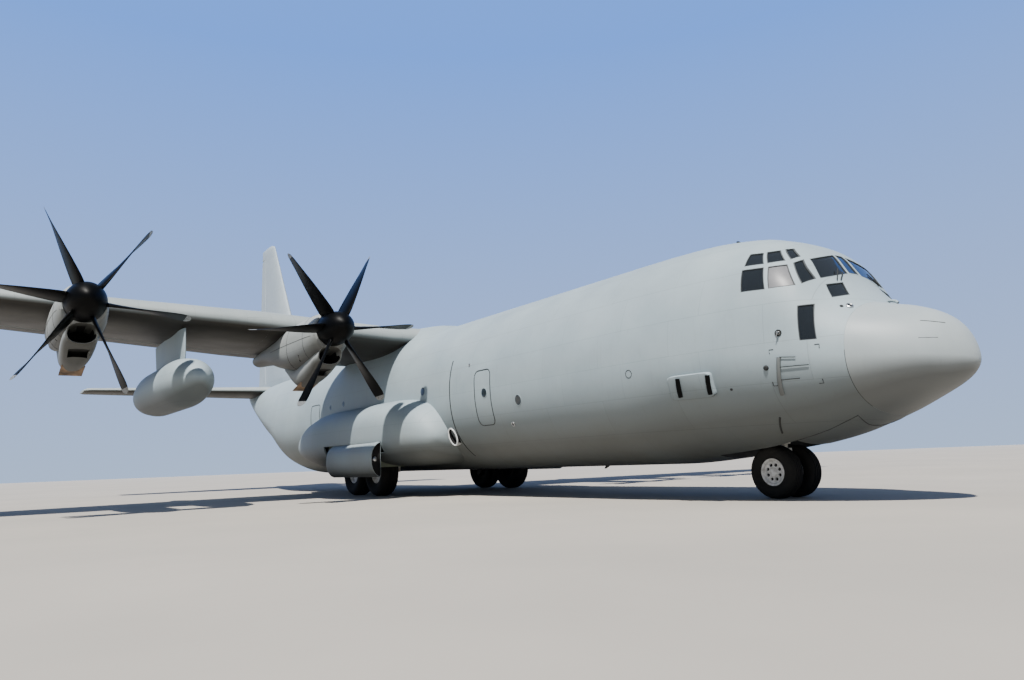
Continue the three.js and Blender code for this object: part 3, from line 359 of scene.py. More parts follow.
body_grey = aircraft_paint("matte_grey_paint_body", "#94A4AC", "#9FAFB6")
radome_grey = aircraft_paint("matte_grey_radome_coat", "#99A3A8", "#A2ACAF", seams=0.0, dirt_and_low_shade=0.8, rough=0.5)

radome = closed(skinned([hull_ring(RADOME_END * (i / 30) ** 2) for i in range(31)]))
finished("nose_radome_cover", radome, [radome_grey], stands_for=["nose_radome"])


# Flight-deck shell, windows and glass
# Sheet aluminium riveted on frames, with thirteen panes set in a forged window frame, each in a dark rubber
# seal. The nose wheels fold into a box in its belly, and the crew door drops out of its port side.
def shrunk(corners, across, by):
    """An outline drawn in by a distance all round."""
    middle = sum(corners, Vector()) / len(corners)
    inward = []
    for a, b in zip(corners, corners[1:] + corners[:1]):
        normal = (b - a).cross(across).normalized()
        inward.append(normal if (middle - a).dot(normal) > 0 else -normal)
    return [
        c + (m + n) / (1 + m.dot(n)) * by for c, m, n in zip(corners, inward[-1:] + inward[:-1], inward)
    ]


def marked(form, corners, across, picks, mark):
    """Cuts an outline through the skin along one direction and marks the faces inside it."""
    middle = sum(corners, Vector()) / len(corners)

    def apart(place):
        d = place - middle
        return (d - across * d.dot(across)).length

    reach = max(apart(c) for c in corners) * 1.15 + 0.05
    walls = []
    for a, b in zip(corners, corners[1:] + corners[:1]):
        normal = (b - a).cross(across).normalized()
        if (middle - a).dot(normal) > 0:
            normal.negate()
        walls.append((a, normal))
    for place, normal in walls:
        near = [f for f in form.faces
                if apart(f.calc_center_median()) < reach and picks(f.calc_center_median())]
        parts = near + list({e for f in near for e in f.edges}) + list({v for f in near for v in f.verts})
        bmesh.ops.bisect_plane(form, geom=parts, dist=1e-6, plane_co=place, plane_no=normal)
    inside = [
        f for f in form.faces
        if picks(f.calc_center_median()) and all((f.calc_center_median() - p).dot(n) < 0 for p, n in walls)
    ]
    for f in inside:
        f.material_index = mark
    return inside


def only(form, mark, keep=True):
    """Keeps or drops the faces that carry a mark."""
    gone = [f for f in form.faces if (f.material_index == mark) != keep]
    bmesh.ops.delete(form, geom=gone, context="FACES")
    return form


ALONG_Y, ALONG_X, ALONG_Z = Vector((0, 1, 0)), Vector((1, 0, 0)), Vector((0, 0, 1))
PANE = 2
# The panes' corners: station and height on the sides, distance from the middle and height in front.
SIDE_WINDOWS = [
    ((2296, 3350), (2681, 3369), (2755, 3776), (2396, 3754)),
    ((1909, 3365), (2250, 3354), (2337, 3752), (2104, 3761)),
    ((1768, 3474), (1858, 3383), (2058, 3785), (1992, 3852)),
    ((2417, 3818), (2740, 3837), (2765, 4085), (2541, 4063)),
    ((2150, 3834), (2372, 3820), (2498, 4064), (2324, 4072)),
    ((2046, 3913), (2108, 3852), (2293, 4089), (2214, 4102)),
    ((1574, 2452), (1801, 2457), (1843, 3016), (1660, 3029)),
]
PALE_WINDOW = SIDE_WINDOWS[1]
FRONT_WINDOWS = [
    ((930, 3485), (200, 3634), (165, 4014), (845, 3865)),
    ((918, 3378), (522, 3439), (657, 3184), (1001, 3128)),
]
CENTRE_WINDOW = ((140, 3650), (-140, 3650), (-110, 4024), (110, 4024))
SEAL_WIDTH = 0.0055
DECK_STATIONS = span(1230.7, 3000, 38) + span(3080, 5600, 84)[1:]


def on_front(c):
    return c.x > at(2350, 0, 0).x


shell = skinned([hull_ring(s, 144) for s in DECK_STATIONS])
for side in (1, -1):
    def on_side(c):
        return c.y * side > 0.38

    panes_cut = [([at(s, side * 1500, z) for s, z in pane], ALONG_Y, on_side) for pane in SIDE_WINDOWS]
    panes_cut += [([at(1700, side * y, z) for y, z in pane], ALONG_X, on_front) for pane in FRONT_WINDOWS]
    if side > 0:
        panes_cut.append(([at(1700, y, z) for y, z in CENTRE_WINDOW], ALONG_X, on_front))
    for corners, across, picks in panes_cut:
        marked(shell, corners, across, picks, 1)
        marked(shell, shrunk(corners, across, SEAL_WIDTH), across, picks, PANE)

WELL, CREW, CREW_GAP = 3, 4, 5
WELL_FRONT, WELL_BACK, WELL_HALF, WELL_ROOF = 2640, 4260, 650, 0.75
NOSE_WELL = [(WELL_FRONT, -WELL_HALF), (WELL_BACK, -WELL_HALF),
             (WELL_BACK, WELL_HALF), (WELL_FRONT, WELL_HALF)]
CREW_OPENING = [(4438, 1028), (5222, 1028), (5222, 2192), (4438, 2192)]
CREW_DOOR = [(4450, 1040), (5210, 1040), (5210, 2180), (4450, 2180)]
marked(shell, [at(s, y, 900) for s, y in NOSE_WELL], ALONG_Z, lambda c: c.z < 0.6, WELL)
marked(shell, [at(s, 1900, z) for s, z in CREW_OPENING], ALONG_Y, lambda c: c.y > 0.3, CREW_GAP)
marked(shell, [at(s, 1900, z) for s, z in CREW_DOOR], ALONG_Y, lambda c: c.y > 0.3, CREW)
bmesh.ops.recalc_face_normals(shell, faces=shell.faces)
glass = only(shell.copy(), PANE)
crew_door = only(shell.copy(), CREW)
for mark in (PANE, CREW, CREW_GAP, WELL):
    only(shell, mark, keep=False)


def in_well(v):
    """Whether a corner lies in the nose wheels' box or on its rim."""
    return WELL_FRONT - 2 < station(v.co) < WELL_BACK + 2 and abs(v.co.y) < 0.3265


well_edge = [e for e in shell.edges if e.is_boundary and all(v.co.z < 0.6 and in_well(v) for v in e.verts)]
raised = bmesh.ops.extrude_edge_only(shell, edges=well_edge)["geom"]
for v in raised:
    if isinstance(v, bmesh.types.BMVert):
        v.co.z = WELL_ROOF
roof_edge = [e for e in raised if isinstance(e, bmesh.types.BMEdge) and e.is_boundary]
bmesh.ops.holes_fill(shell, edges=roof_edge, sides=0)
# The wheel box's roof takes the dark cabin trim, as painted shade inside the box.
for f in shell.faces:
    if all(in_well(v) for v in f.verts) and abs(max(v.co.z for v in f.verts) - WELL_ROOF) < 0.001:
        f.material_index = 2
bmesh.ops.recalc_face_normals(shell, faces=shell.faces)


def mottled(name, scale, detail, codes, stops=(0.0, 1.0), **finish):
    """A finish whose colour drifts between two tones in patches."""
    material, tree, out = blank(name)
    places = node(tree, "ShaderNodeTexCoord").outputs["Object"]
    patches = node(tree, "ShaderNodeTexNoise", {"Vector": places, "Scale": scale, "Detail": detail})
    tone = node(tree, "ShaderNodeValToRGB", {"Fac": patches.outputs["Fac"]})
    ramped(tone, codes, stops)
    shader = node(tree, "ShaderNodeBsdfPrincipled", {"Base Color": tone.outputs["Color"]})
    for socket, value in finish.items():
        shader.inputs[socket.replace("_", " ")].default_value = value
    tree.links.new(shader.outputs["BSDF"], out.inputs["Surface"])
    return material


# Dark window seal: extruded rubber, dull, with a little dust in patches of about 30 mm.
seal_rubber = mottled("rubber_window_seal", 60.0, 3.0, ("#33383B", "#4A4F51"), Roughness=0.7)

# Chromate-green primer inside the skin: a thin sprayed coat on bare aluminium frames.
primer, tree, out = blank("green_primer_inside")
places = node(tree, "ShaderNodeTexCoord").outputs["Object"]
ribs = node(tree, "ShaderNodeTexWave", {
    "Vector": places, "Scale": 0.64, "Distortion": 0.0}, bands_direction="X")
tone = node(tree, "ShaderNodeValToRGB", {"Fac": ribs.outputs["Fac"]})
ramped(tone, ("#6F7769", "#838A79"), (0.82, 0.9))
rib_height = node(tree, "ShaderNodeBump", {
    "Height": tone.outputs["Color"], "Strength": 0.8, "Distance": 0.02})
shader = node(tree, "ShaderNodeBsdfPrincipled", {
    "Base Color": tone.outputs["Color"], "Roughness": 0.62, "Normal": rib_height.outputs["Normal"]})
tree.links.new(shader.outputs["BSDF"], out.inputs["Surface"])


def walled(piece, thickness, inner=2):
    """Gives a skin its wall, inwards, lined in primer."""
    wall = piece.modifiers.new("wall", "SOLIDIFY")
    wall.thickness, wall.offset, wall.use_even_offset = thickness, -1, False
    wall.material_offset, wall.material_offset_rim = inner, 0
    return piece


# Laminated glass, slightly blue-grey, with the reflections of a flat polished pane.
pane_glass, tree, out = blank("laminated_windscreen_glass")
places = node(tree, "ShaderNodeTexCoord").outputs["Object"]
haze = node(tree, "ShaderNodeTexNoise", {"Vector": places, "Scale": 9.0, "Detail": 3.0})
film = node(tree, "ShaderNodeMapRange", {"Value": haze.outputs["Fac"], "To Min": 0.02, "To Max": 0.07})
shader = node(tree, "ShaderNodeBsdfPrincipled", {
    "Base Color": linear("#515A62"), "Roughness": film.outputs["Result"], "Transmission Weight": 0.85,
    "IOR": 1.5})
tree.links.new(shader.outputs["BSDF"], out.inputs["Surface"])
# One starboard side window's glass is drawn pale grey and nearly opaque.
pale_pane_glass = mottled("pale_grey_pane_glass", 14.0, 4.0, ("#66686C", "#85868A"),
                      Roughness=0.3, IOR=1.5, Specular_IOR_Level=0.1)
GLASS_INSET, GLASS_THICKNESS = 0.007, 0.006
for v in glass.verts:
    v.co -= v.normal * GLASS_INSET
for f in glass.faces:
    f.material_index = 0
marked(glass, [at(s, -1500, z) for s, z in PALE_WINDOW], ALONG_Y, lambda c: c.y < -0.38, 1)
panes = finished("cockpit_window_panes", glass, [pane_glass, pale_pane_glass],
                 stands_for=["cockpit_glazing"], crease=25)
thick = panes.modifiers.new("pane", "SOLIDIFY")
thick.thickness, thick.offset = GLASS_THICKNESS, -1

for f in crew_door.faces:
    f.material_index = 0
door_skin = finished("crew_door_skin", crew_door, [body_grey, seal_rubber, primer],
                     body="crew_door", stands_for=["crew_door"])
walled(door_skin, 0.05)

# The flight deck's floor, seats and instrument panel keep their CAD shape, in dark textured trim.
trim, tree, out = blank("dark_cabin_trim")
places = node(tree, "ShaderNodeTexCoord").outputs["Object"]
grain = node(tree, "ShaderNodeTexNoise", {"Vector": places, "Scale": 220.0, "Detail": 2.0})
patches = node(tree, "ShaderNodeTexVoronoi", {"Vector": places, "Scale": 14.0})
tone = node(tree, "ShaderNodeValToRGB", {"Fac": patches.outputs["Distance"]})
ramped(tone, ("#23262A", "#3E4347"))
pebbled = node(tree, "ShaderNodeBump", {"Height": grain.outputs["Fac"], "Strength": 0.4, "Distance": 0.001})
shader = node(tree, "ShaderNodeBsdfPrincipled", {
    "Base Color": tone.outputs["Color"], "Roughness": 0.68, "Normal": pebbled.outputs["Normal"]})
tree.links.new(shader.outputs["BSDF"], out.inputs["Surface"])


def refinished(name, material):
    """Gives a CAD node that keeps its shape a better material."""
    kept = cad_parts[name]
    kept.data.materials.clear()
    kept.data.materials.append(material)


refinished("flight_deck", trim)
deck_shell = finished(
    "flight_deck_skin", shell, [body_grey, seal_rubber, trim], stands_for=["cockpit_shell"])
walled(deck_shell, 0.03)


# Fuselage barrels, cargo floor, ramp and aft door
# Aluminium sheet on rings and stringers, pressurised, its joints lapped and sealed. The ramp and the aft door
# close the rising belly and swing on hinges across the aircraft.
forward = skinned([hull_ring(s) for s in span(5600.7, 12900, 450)])
bmesh.ops.recalc_face_normals(forward, faces=forward.faces)
walled(finished("forward_fuselage_skin", forward, [body_grey, seal_rubber, primer],
                stands_for=["forward_fuselage"]), 0.05)

centre = skinned([hull_ring(s) for s in span(12900.7, 19700, 170)])
for side in (1, -1):
    wheel_space = [(14100, 1600), (17300, 1600), (17300, 2400), (14100, 2400)]
    wheel_side = [(14100, 500), (17300, 500), (17300, 2220), (14100, 2220)]
    marked(centre, [at(s, side * y, 900) for s, y in wheel_space], ALONG_Z,
           lambda c: c.z < 1.11 and c.y * side > 0, WELL)
    marked(centre, [at(s, side * 1900, z) for s, z in wheel_side], ALONG_Y, lambda c: c.y * side > 0.8, WELL)
only(centre, WELL, keep=False)
bmesh.ops.recalc_face_normals(centre, faces=centre.faces)
walled(finished("centre_fuselage_skin", centre, [body_grey, seal_rubber, primer],
                stands_for=["centre_fuselage"]), 0.05)

RAMP_MARK, RAMP_GAP, DOOR_MARK, DOOR_GAP = 3, 4, 5, 6
RAMP_FRONT = 23312
ramp_hole = [(23300, -1412), (26362, -1412), (26362, 1412), (23300, 1412)]
ramp_plan = [(RAMP_FRONT, -1400), (26350, -1400), (26350, 1400), (RAMP_FRONT, 1400)]
door_hole = [(26362, -1312), (29812, -832), (29812, 832), (26362, 1312)]
door_plan = [(26374, -1300), (29800, -820), (29800, 820), (26374, 1300)]


def on_belly(c):
    return c.z < at(0, 0, hull_at(station(c))[3]).z


aft = skinned([hull_ring(s) for s in span(19700.7, 23200, 350) + span(23400, 34370, 200)])
cuts = ((ramp_hole, RAMP_GAP), (ramp_plan, RAMP_MARK), (door_hole, DOOR_GAP), (door_plan, DOOR_MARK))
for plan, mark in cuts:
    marked(aft, [at(s, y, 900) for s, y in plan], ALONG_Z, on_belly, mark)
closed_end = [e for e in aft.edges if e.is_boundary and all(v.co.x < at(34300, 0, 0).x for v in e.verts)]
bmesh.ops.holes_fill(aft, edges=closed_end, sides=0)
bmesh.ops.recalc_face_normals(aft, faces=aft.faces)
ramp = only(aft.copy(), RAMP_MARK)
rear_door = only(aft.copy(), DOOR_MARK)
for mark in (RAMP_MARK, RAMP_GAP, DOOR_MARK, DOOR_GAP):
    only(aft, mark, keep=False)
walled(finished("aft_fuselage_skin", aft, [body_grey, seal_rubber, primer],
                stands_for=["aft_fuselage"]), 0.03)
RAMP_FLOOR, RAMP_SLOPE = 1040, 0.288
for f in ramp.faces:
    f.material_index = 0
lifted = bmesh.ops.extrude_face_region(ramp, geom=ramp.faces[:])["geom"]
for v in lifted:
    if isinstance(v, bmesh.types.BMVert):
        v.co.z = max(v.co.z + 0.01, at(0, 0, RAMP_FLOOR + (station(v.co) - RAMP_FRONT) * RAMP_SLOPE).z)
bmesh.ops.recalc_face_normals(ramp, faces=ramp.faces)
finished("cargo_ramp_body", ramp, [body_grey], body="cargo_ramp", stands_for=["cargo_ramp"])
for f in rear_door.faces:
    f.material_index = 0
walled(finished("aft_cargo_door_skin", rear_door, [body_grey, seal_rubber, primer],
                body="aft_cargo_door", stands_for=["aft_cargo_door"]), 0.03)

# Cargo floor: extruded aluminium planks with rolled non-slip ribs, worn bright along their tops.
planks, tree, out = blank("ribbed_aluminium_floor")
places = node(tree, "ShaderNodeTexCoord").outputs["Object"]
rib = node(tree, "ShaderNodeTexWave", {
    "Vector": places, "Scale": 10.0, "Distortion": 0.0}, bands_direction="Y")
scuff = node(tree, "ShaderNodeTexNoise", {"Vector": places, "Scale": 7.0, "Detail": 6.0})
tone = node(tree, "ShaderNodeValToRGB", {"Fac": scuff.outputs["Fac"]})
ramped(tone, ("#6B6F70", "#9A9D9D"))
raised_ribs = node(tree, "ShaderNodeBump", {"Height": rib.outputs["Fac"], "Strength": 0.5, "Distance": 0.002})
shader = node(tree, "ShaderNodeBsdfPrincipled", {
    "Base Color": tone.outputs["Color"], "Metallic": 0.8, "Roughness": 0.45,
    "Normal": raised_ribs.outputs["Normal"]})
tree.links.new(shader.outputs["BSDF"], out.inputs["Surface"])
refinished("cargo_floor", planks)


# Joints, exits, windows and fittings on the body
# Sealed joints round the exits and doors, cabin windows, probes and lamps that stand on the skin, and the
# raised air outlet low on the flight deck. Most are bolted aluminium or stainless steel, painted over.
def under(s, y):
    """A place on the belly at a distance from the middle."""
    top, belly, half, middle, upper, lower = hull_at(s)
    return at(s, y, middle - (middle - belly) * max(0.0, 1 - abs(y / half) ** lower) ** (1 / lower))


def beside(s, z, side=-1, out=0.0):
    """A place on the body's side and the direction straight out from it."""
    place = at(s, hull_side(s, z, side), z)
    higher = at(s, hull_side(s, z + 12, side), z + 12)
    further = at(s + 12, hull_side(s + 12, z, side), z)
    away = (higher - place).cross(further - place).normalized()
    if away.y * side < 0:
        away.negate()
    return place + away * out / FULL_SIZE, away


def along_side(path, side, out=0):
    """Stations and heights laid on the body's side."""
    return [beside(s, z, side, out)[0] for s, z in path]


def wire(path, radius, sides=6):
    """A thin round bar along a path."""
    rings = []
    for i, place in enumerate(path):
        ahead = (path[min(i + 1, len(path) - 1)] - path[max(i - 1, 0)]).normalized()
        flat = ahead.cross(Vector((0.31, 0.17, 0.93))).normalized()
        up = flat.cross(ahead)
        rings.append([
            place + (flat * math.cos(a) + up * math.sin(a)) * radius / FULL_SIZE
            for a in (2 * math.pi * k / sides for k in range(sides))])
    return closed(skinned(rings))


def outline(low_s, high_s, low_z, high_z, corner):
    """A rounded door shape as stations and heights, back to where it began."""
    path = []
    for cs, cz, start in ((high_s - corner, high_z - corner, 0), (low_s + corner, high_z - corner, 90),
                          (low_s + corner, low_z + corner, 180), (high_s - corner, low_z + corner, 270)):
        for a in (0, 22, 45, 68, 90):
            turn = math.radians(start + a)
            path.append((cs + corner * math.cos(turn), cz + corner * math.sin(turn)))
    path.append(path[0])
    fine = []
    for (s0, z0), (s1, z1) in zip(path, path[1:]):
        steps = max(1, math.ceil(math.hypot(s1 - s0, z1 - z0) / 70))
        fine += [(s0 + (s1 - s0) * k / steps, z0 + (z1 - z0) * k / steps) for k in range(steps)]
    return fine + [path[0]]


def turned(profile, centre, axis, count=40):
    """Turns pairs of radius and distance along the axis round it."""
    form = bmesh.new()
    corners = [form.verts.new((r / FULL_SIZE, 0, d / FULL_SIZE)) for r, d in profile]
    edges = [form.edges.new(pair) for pair in zip(corners, corners[1:])]
    bmesh.ops.spin(form, geom=corners + edges, cent=(0, 0, 0), axis=(0, 0, 1), dvec=(0, 0, 0),
                   angle=2 * math.pi, steps=count, use_merge=True)
    bmesh.ops.remove_doubles(form, verts=form.verts, dist=1e-6)
    bmesh.ops.recalc_face_normals(form, faces=form.faces)
    form.transform(Matrix.Translation(centre) @ axis.to_track_quat("Z", "Y").to_matrix().to_4x4())
    return form


def dyed(form, mark):
    for f in form.faces:
        f.material_index = mark
    return form


def together(*forms):
    """Several closed shapes as one piece."""
    whole = bmesh.new()
    for form in forms:
        scratch = bpy.data.meshes.new("scratch")
        form.to_mesh(scratch)
        form.free()
        whole.from_mesh(scratch)
        bpy.data.meshes.remove(scratch)
    return whole


# Dark polysulphide sealant in the joints: rubbery and matte, with dust in it.
sealant = mottled("dark_joint_sealant", 25.0, 4.0, ("#0E1011", "#2A2D2E"), Roughness=0.8)

# Brushed stainless steel of probes and lamp rims: fine scratches along the body, a soft highlight.
steel, tree, out = blank("brushed_stainless_steel")
places = node(tree, "ShaderNodeTexCoord").outputs["Object"]
drawn = node(tree, "ShaderNodeMapping", {"Vector": places, "Scale": (12, 260, 260)})
scratch = node(tree, "ShaderNodeTexNoise", {"Vector": drawn.outputs["Vector"], "Scale": 1.0, "Detail": 3.0})
rub = node(tree, "ShaderNodeMapRange", {"Value": scratch.outputs["Fac"], "To Min": 0.25, "To Max": 0.5})
shader = node(tree, "ShaderNodeBsdfPrincipled", {
    "Base Color": linear("#B9BBBC"), "Metallic": 1.0, "Roughness": rub.outputs["Result"]})
tree.links.new(shader.outputs["BSDF"], out.inputs["Surface"])

# The outlet's slots are drawn near-black, with dust and no shine: painted shade inside their openings.
vent_slot_shade = mottled("black_vent_slot_shade", 45.0, 3.0, ("#040505", "#0D0E0F"),
                     Roughness=0.9, Specular_IOR_Level=0.1)
step_grey = aircraft_paint("matte_dark_grey_step_strip", "#6C7375", "#767C7D", seams=0.0)

# Joints on either side, each with the radius of its bead: side exit, aft side door and its latch, joint ahead
# of the wing, filler cap, radome joint, and two lightning strips on the radome.
SIDE_SEAMS = [
    (outline(9440, 10105, 1655, 2930, 150), 11),
    (outline(19850, 20640, 1150, 2950, 120), 12),
    ([(20183, z) for z in (1985, 2047, 2110)], 16),
    ([(11240, z) for z in span(980, 3330, 70)], 14),
    (outline(4890, 5030, 2215, 2355, 69), 6),
    ([(1232, z) for z in span(1420, 2250, 40)], 3.5),
    ([(239, 2558), (280, 2570), (330, 2583), (390, 2597), (451, 2608)], 6),
    ([(250, 2330), (330, 2335), (420, 2338)], 4),
]
# Corner marks round the crew's steps: station, height, and which way the two legs point.
CORNER_MARKS = ((1550, 2373, 62, -62), (2243, 2365, -62, -62), (1591, 1792, 62, 62), (2286, 1811, -62, 62))
# Nose gear door: station and distance from the middle along its starboard half.
NOSE_DOOR = [(2640, -650), (2300, -662), (2028, -672), (1750, -690), (1500, -700), (1530, -560), (1570, -400),
             (1610, -230), (1620, -110), (1620, 0)]
joints = []
for side in (-1, 1):
    joints += [wire(along_side(path, side), radius) for path, radius in SIDE_SEAMS]
    joints += [wire(along_side(((s + ds, z), (s, z), (s, z + dz)), side), 7) for s, z, ds, dz in CORNER_MARKS]
joints.append(wire([under(s, y) for s, y in NOSE_DOOR + [(s, -y) for s, y in NOSE_DOOR[-2::-1]]], 8))
finished("body_joint_sealant", together(*joints), [sealant], crease=60)

# Every fitting is dyed with the place of its finish in this list.
FITTING_FINISHES = [body_grey, steel, sealant, step_grey, vent_slot_shade]
PAINTED, BARE, DARK, STRIP, SLOT_SHADE = range(5)
# Round parts, each as station, height and radius.
ROUND_WINDOWS = ((9700, 2388, 118), (8403, 2115, 120), (12628, 2702, 118), (18895, 2779, 96),
                 (17828, 2803, 96))
LAMPS = ((1324, 2959, 44), (8801, 1622, 40), (10383, 3124, 22))
# Dark static ports and sensors: station, height and profile.
DARK_BUTTONS = [
    (1397, 2964, [(0, 10), (26, 8), (34, -6)]),
    (2090, 2612, [(26, 4), (34, 14), (50, 14), (58, -8)]),
    (2328, 2094, [(0, 30), (24, 28), (38, 16), (44, -8)]),
    (2970, 1820, [(0, 14), (18, 12), (24, -6)]),
]
# Air-data probes on the steps' strip, from their root to their tip.
PROBES = ((2100, 2236, 1876, 2213), (2120, 2086, 1717, 2081), (2140, 1894, 1881, 1894))
# Each wiper's hinge and tip: distance from the middle and height.
WIPERS = (((650, 3470), (430, 3700)), ((560, 3480), (360, 3640)))
# Blade aerials on the middle line: station, height of the skin there, how far it stands out, chord.
AERIALS = ((8010, 632, -60, 150), (13350, 632, -150, 240), (3900, 4690, 110, 120))


def windscreen_station(y, z):
    """Where the hull ahead of the windscreen's top reaches a distance from the middle at a height."""
    low, high = 1235.0, 2300.0
    for _ in range(24):
        s = (low + high) / 2
        low, high = (low, s) if abs(hull_side(s, z)) > y else (s, high)
    return high


def aerial(s, z, drop, chord):
    """A blade aerial whose chord shrinks and sweeps back towards its tip."""
    rings = []
    for share, taper, sweep in ((-0.2, 1, 0), (0, 1, 0), (0.5, 0.8, 40), (0.9, 0.6, 75), (1, 0.3, 85)):
        ring = []
        for a in (2 * math.pi * k / 16 for k in range(16)):
            back, aside = -0.5 * chord * taper * math.cos(a), 14 * taper * math.sin(a)
            ring.append(at(s + sweep + back, aside, z + drop * share))
        rings.append(ring)
    return closed(skinned(rings))


fitted, lenses = [], []
for side in (-1, 1):
    for s, z, r in ROUND_WINDOWS:
        place, away = beside(s, z, side)
        fitted.append(dyed(turned([(r - 14, 2), (r - 6, 5), (r + 2, 4), (r + 6, -10)], place, away), PAINTED))
        lenses.append(turned([(0, 7), (r * 0.7, 6), (r - 12, 4)], place, away))
        # A dark disc under the lens stands for the window's dark inside: painted shade.
        fitted.append(dyed(turned([(0, -2), (r - 12, -4)], place, away), DARK))
    for s, z, r in LAMPS:
        place, away = beside(s, z, side)
        fitted.append(dyed(turned([(r - 8, 18), (r, 24), (r + 12, 18), (r + 14, -12)], place, away), BARE))
        lenses.append(turned([(0, 24), (r * 0.6, 21), (r - 6, 14)], place, away))
        # A dark disc under the lens stands for the lamp's dark inside: painted shade.
        fitted.append(dyed(turned([(0, 2), (r - 4, 4)], place, away), DARK))
    for s, z, profile in DARK_BUTTONS:
        fitted.append(dyed(turned(profile, *beside(s, z, side)), DARK))
    # The ice probe stands in the ring above the steps, with a bent tip.
    place, away = beside(2090, 2612, side)
    fitted.append(dyed(turned([(0, 70), (16, 66), (22, 10), (30, 4), (30, -4)], place, away), BARE))
    tip = place + away * 0.030 + Vector((-0.015, 0, -0.04))
    fitted.append(dyed(wire([place + away * 0.028, tip], 8), BARE))
    # The steps' strip leans back as it goes down.
    strip = along_side([(2112 + (2236 - z) * 0.18, z) for z in span(1671, 2236, 40)], side, 3)
    fitted.append(dyed(wire(strip, 36), STRIP))
    for s0, z0, s1, z1 in PROBES:
        rod = [(s0 + (s1 - s0) * k / 6, z0 + (z1 - z0) * k / 6) for k in range(7)]
        fitted.append(dyed(wire(along_side(rod[:1], side) + along_side(rod, side, 16), 7), DARK))
    drain = [(2460 + k * 32, 1335 - k * 39) for k in range(7)]
    fitted.append(dyed(wire(along_side(drain, side, 2), 16), DARK))
    for hinge, tip in WIPERS:
        rod = [Vector(hinge).lerp(Vector(tip), k / 4) for k in range(5)]
        path = [at(windscreen_station(y, z) - 26, side * y, z) for y, z in rod]
        fitted.append(dyed(wire(path, 9), DARK))
# A painted bump ahead of the windscreen.
bump = [at(1300, 150, 3120), at(1230, 140, 3118), at(1150, 126, 3095), at(1110, 118, 3060)]
fitted.append(dyed(wire(bump, 24, 10), PAINTED))
fitted += [dyed(aerial(*sizes), DARK) for sizes in AERIALS]

# Raised air outlet with a slot at each end, drawn as a near-black bar of painted shade, and a painted bar
# ahead of each slot.
OUTLET_S, OUTLET_Z, OUTLET_LONG, OUTLET_HIGH = 3660, 1945, 420, 195
OUTLET_STANDS = 90
for side in (-1, 1):
    rings = []
    for stands, grow in ((-30, 1.02), (40, 1.0), (80, 0.985), (87, 0.965), (89, 0.93)):
        long_half, high_half = OUTLET_LONG * grow, OUTLET_HIGH * grow
        corners = [rounded(2 * math.pi * (k + 0.5) / 48, long_half, high_half, 9) for k in range(48)]
        rings.append(along_side([(OUTLET_S + a, OUTLET_Z + b) for a, b in corners], side, stands))
    fitted.append(closed(skinned(rings)))
    for s in (3262, 3835):
        slot = [(s + 28.6 + (OUTLET_Z - z) * 0.12, z) for z in (2095, 1995, 1900, 1805)]
        slot = along_side(slot, side, OUTLET_STANDS)
        fitted.append(dyed(wire(slot, 40, 12), SLOT_SHADE))
        fitted.append(dyed(wire([q + Vector((-0.028, 0, 0)) for q in slot], 9, 8), PAINTED))
finished("body_fittings", together(*fitted), FITTING_FINISHES, crease=35)
finished("body_round_window_glass", together(*lenses), [pane_glass], crease=35)


# Wing, flaps and ailerons
# One straight wing through the top of the body: two spars and machined planks, with a slim nose that takes
# hot air against ice. The flaps and ailerons are separate boxes behind the rear spar.
# Distance from the middle, leading edge's station, chord and thickness of the wing's sections.
WING_ROWS = [(0, 14300, 4880, 0.18), (5600, 14300, 4880, 0.18), (19945, 15080, 2560, 0.12)]
WING_HEIGHT, DIHEDRAL, ROOT_TWIST, HALF_SPAN = 4290, math.radians(2.5), 3, 20205
CAMBER, SKIN_EXTRA = 0.08, 0.001
TIP_STARTS, TIP_LENGTH = 19945, 262
# The wing's undersides carry the full painted shade.
wing_grey = aircraft_paint("matte_grey_paint_wing", "#949E9F", "#9EA6A6", plan=True, underside_shade=1.0)


def aerofoil_half(x, thick):
    """Half the thickness of a four-digit aerofoil, as a share of its chord."""
    return 5 * thick * (0.2969 * math.sqrt(x) - 0.126 * x - 0.3516 * x**2 + 0.2843 * x**3 - 0.1015 * x**4)


def round_profile(count):
    """Steps round an aerofoil: whether the step is on its upper side, and how far back it is."""
    for i in range(2 * count + 1):
        yield i < count, 1 - i / count if i < count else (i - count) / count


def wing_section(y, low, high, count=26):
    """The aerofoil at a distance from the middle, between two shares of its chord."""
    reach = abs(y)
    fade = 1.0
    if reach > TIP_STARTS:
        fade = math.sqrt(max(0.0, 1 - ((reach - TIP_STARTS) / TIP_LENGTH) ** 2))
        lead, chord, thick = 15080 + 900 * (1 - fade), 2560 - 1150 * (1 - fade), 0.12 * fade
    else:
        a, b = (WING_ROWS[0], WING_ROWS[1]) if reach <= 5600 else (WING_ROWS[1], WING_ROWS[2])
        t = (reach - a[0]) / (b[0] - a[0])
        lead, chord, thick = (p + (q - p) * t for p, q in zip(a[1:], b[1:]))
    twist = math.radians(ROOT_TWIST * (1 - reach / HALF_SPAN))
    middle = WING_HEIGHT + reach * math.tan(DIHEDRAL)
    ring = []
    for over, u in round_profile(count):
        x = high * (1 - math.cos(u * math.pi / 2)) if low == 0 else low + (high - low) * u
        half = aerofoil_half(x, thick) + SKIN_EXTRA * fade * (x > 0)
        h = CAMBER * x * (1 - x) + (half if over else -half)
        back = x * math.cos(twist) + h * math.sin(twist)
        rise = h * math.cos(twist) - (x - 0.2) * math.sin(twist)
        ring.append(at(lead + back * chord, y, middle + rise * chord))
    if low > 0:
        ring[count] = (ring[count - 1] + ring[count + 1]) / 2
    return ring


def wing_part(stations, low, high):
    return closed(skinned([wing_section(y, low, high) for y in stations]))


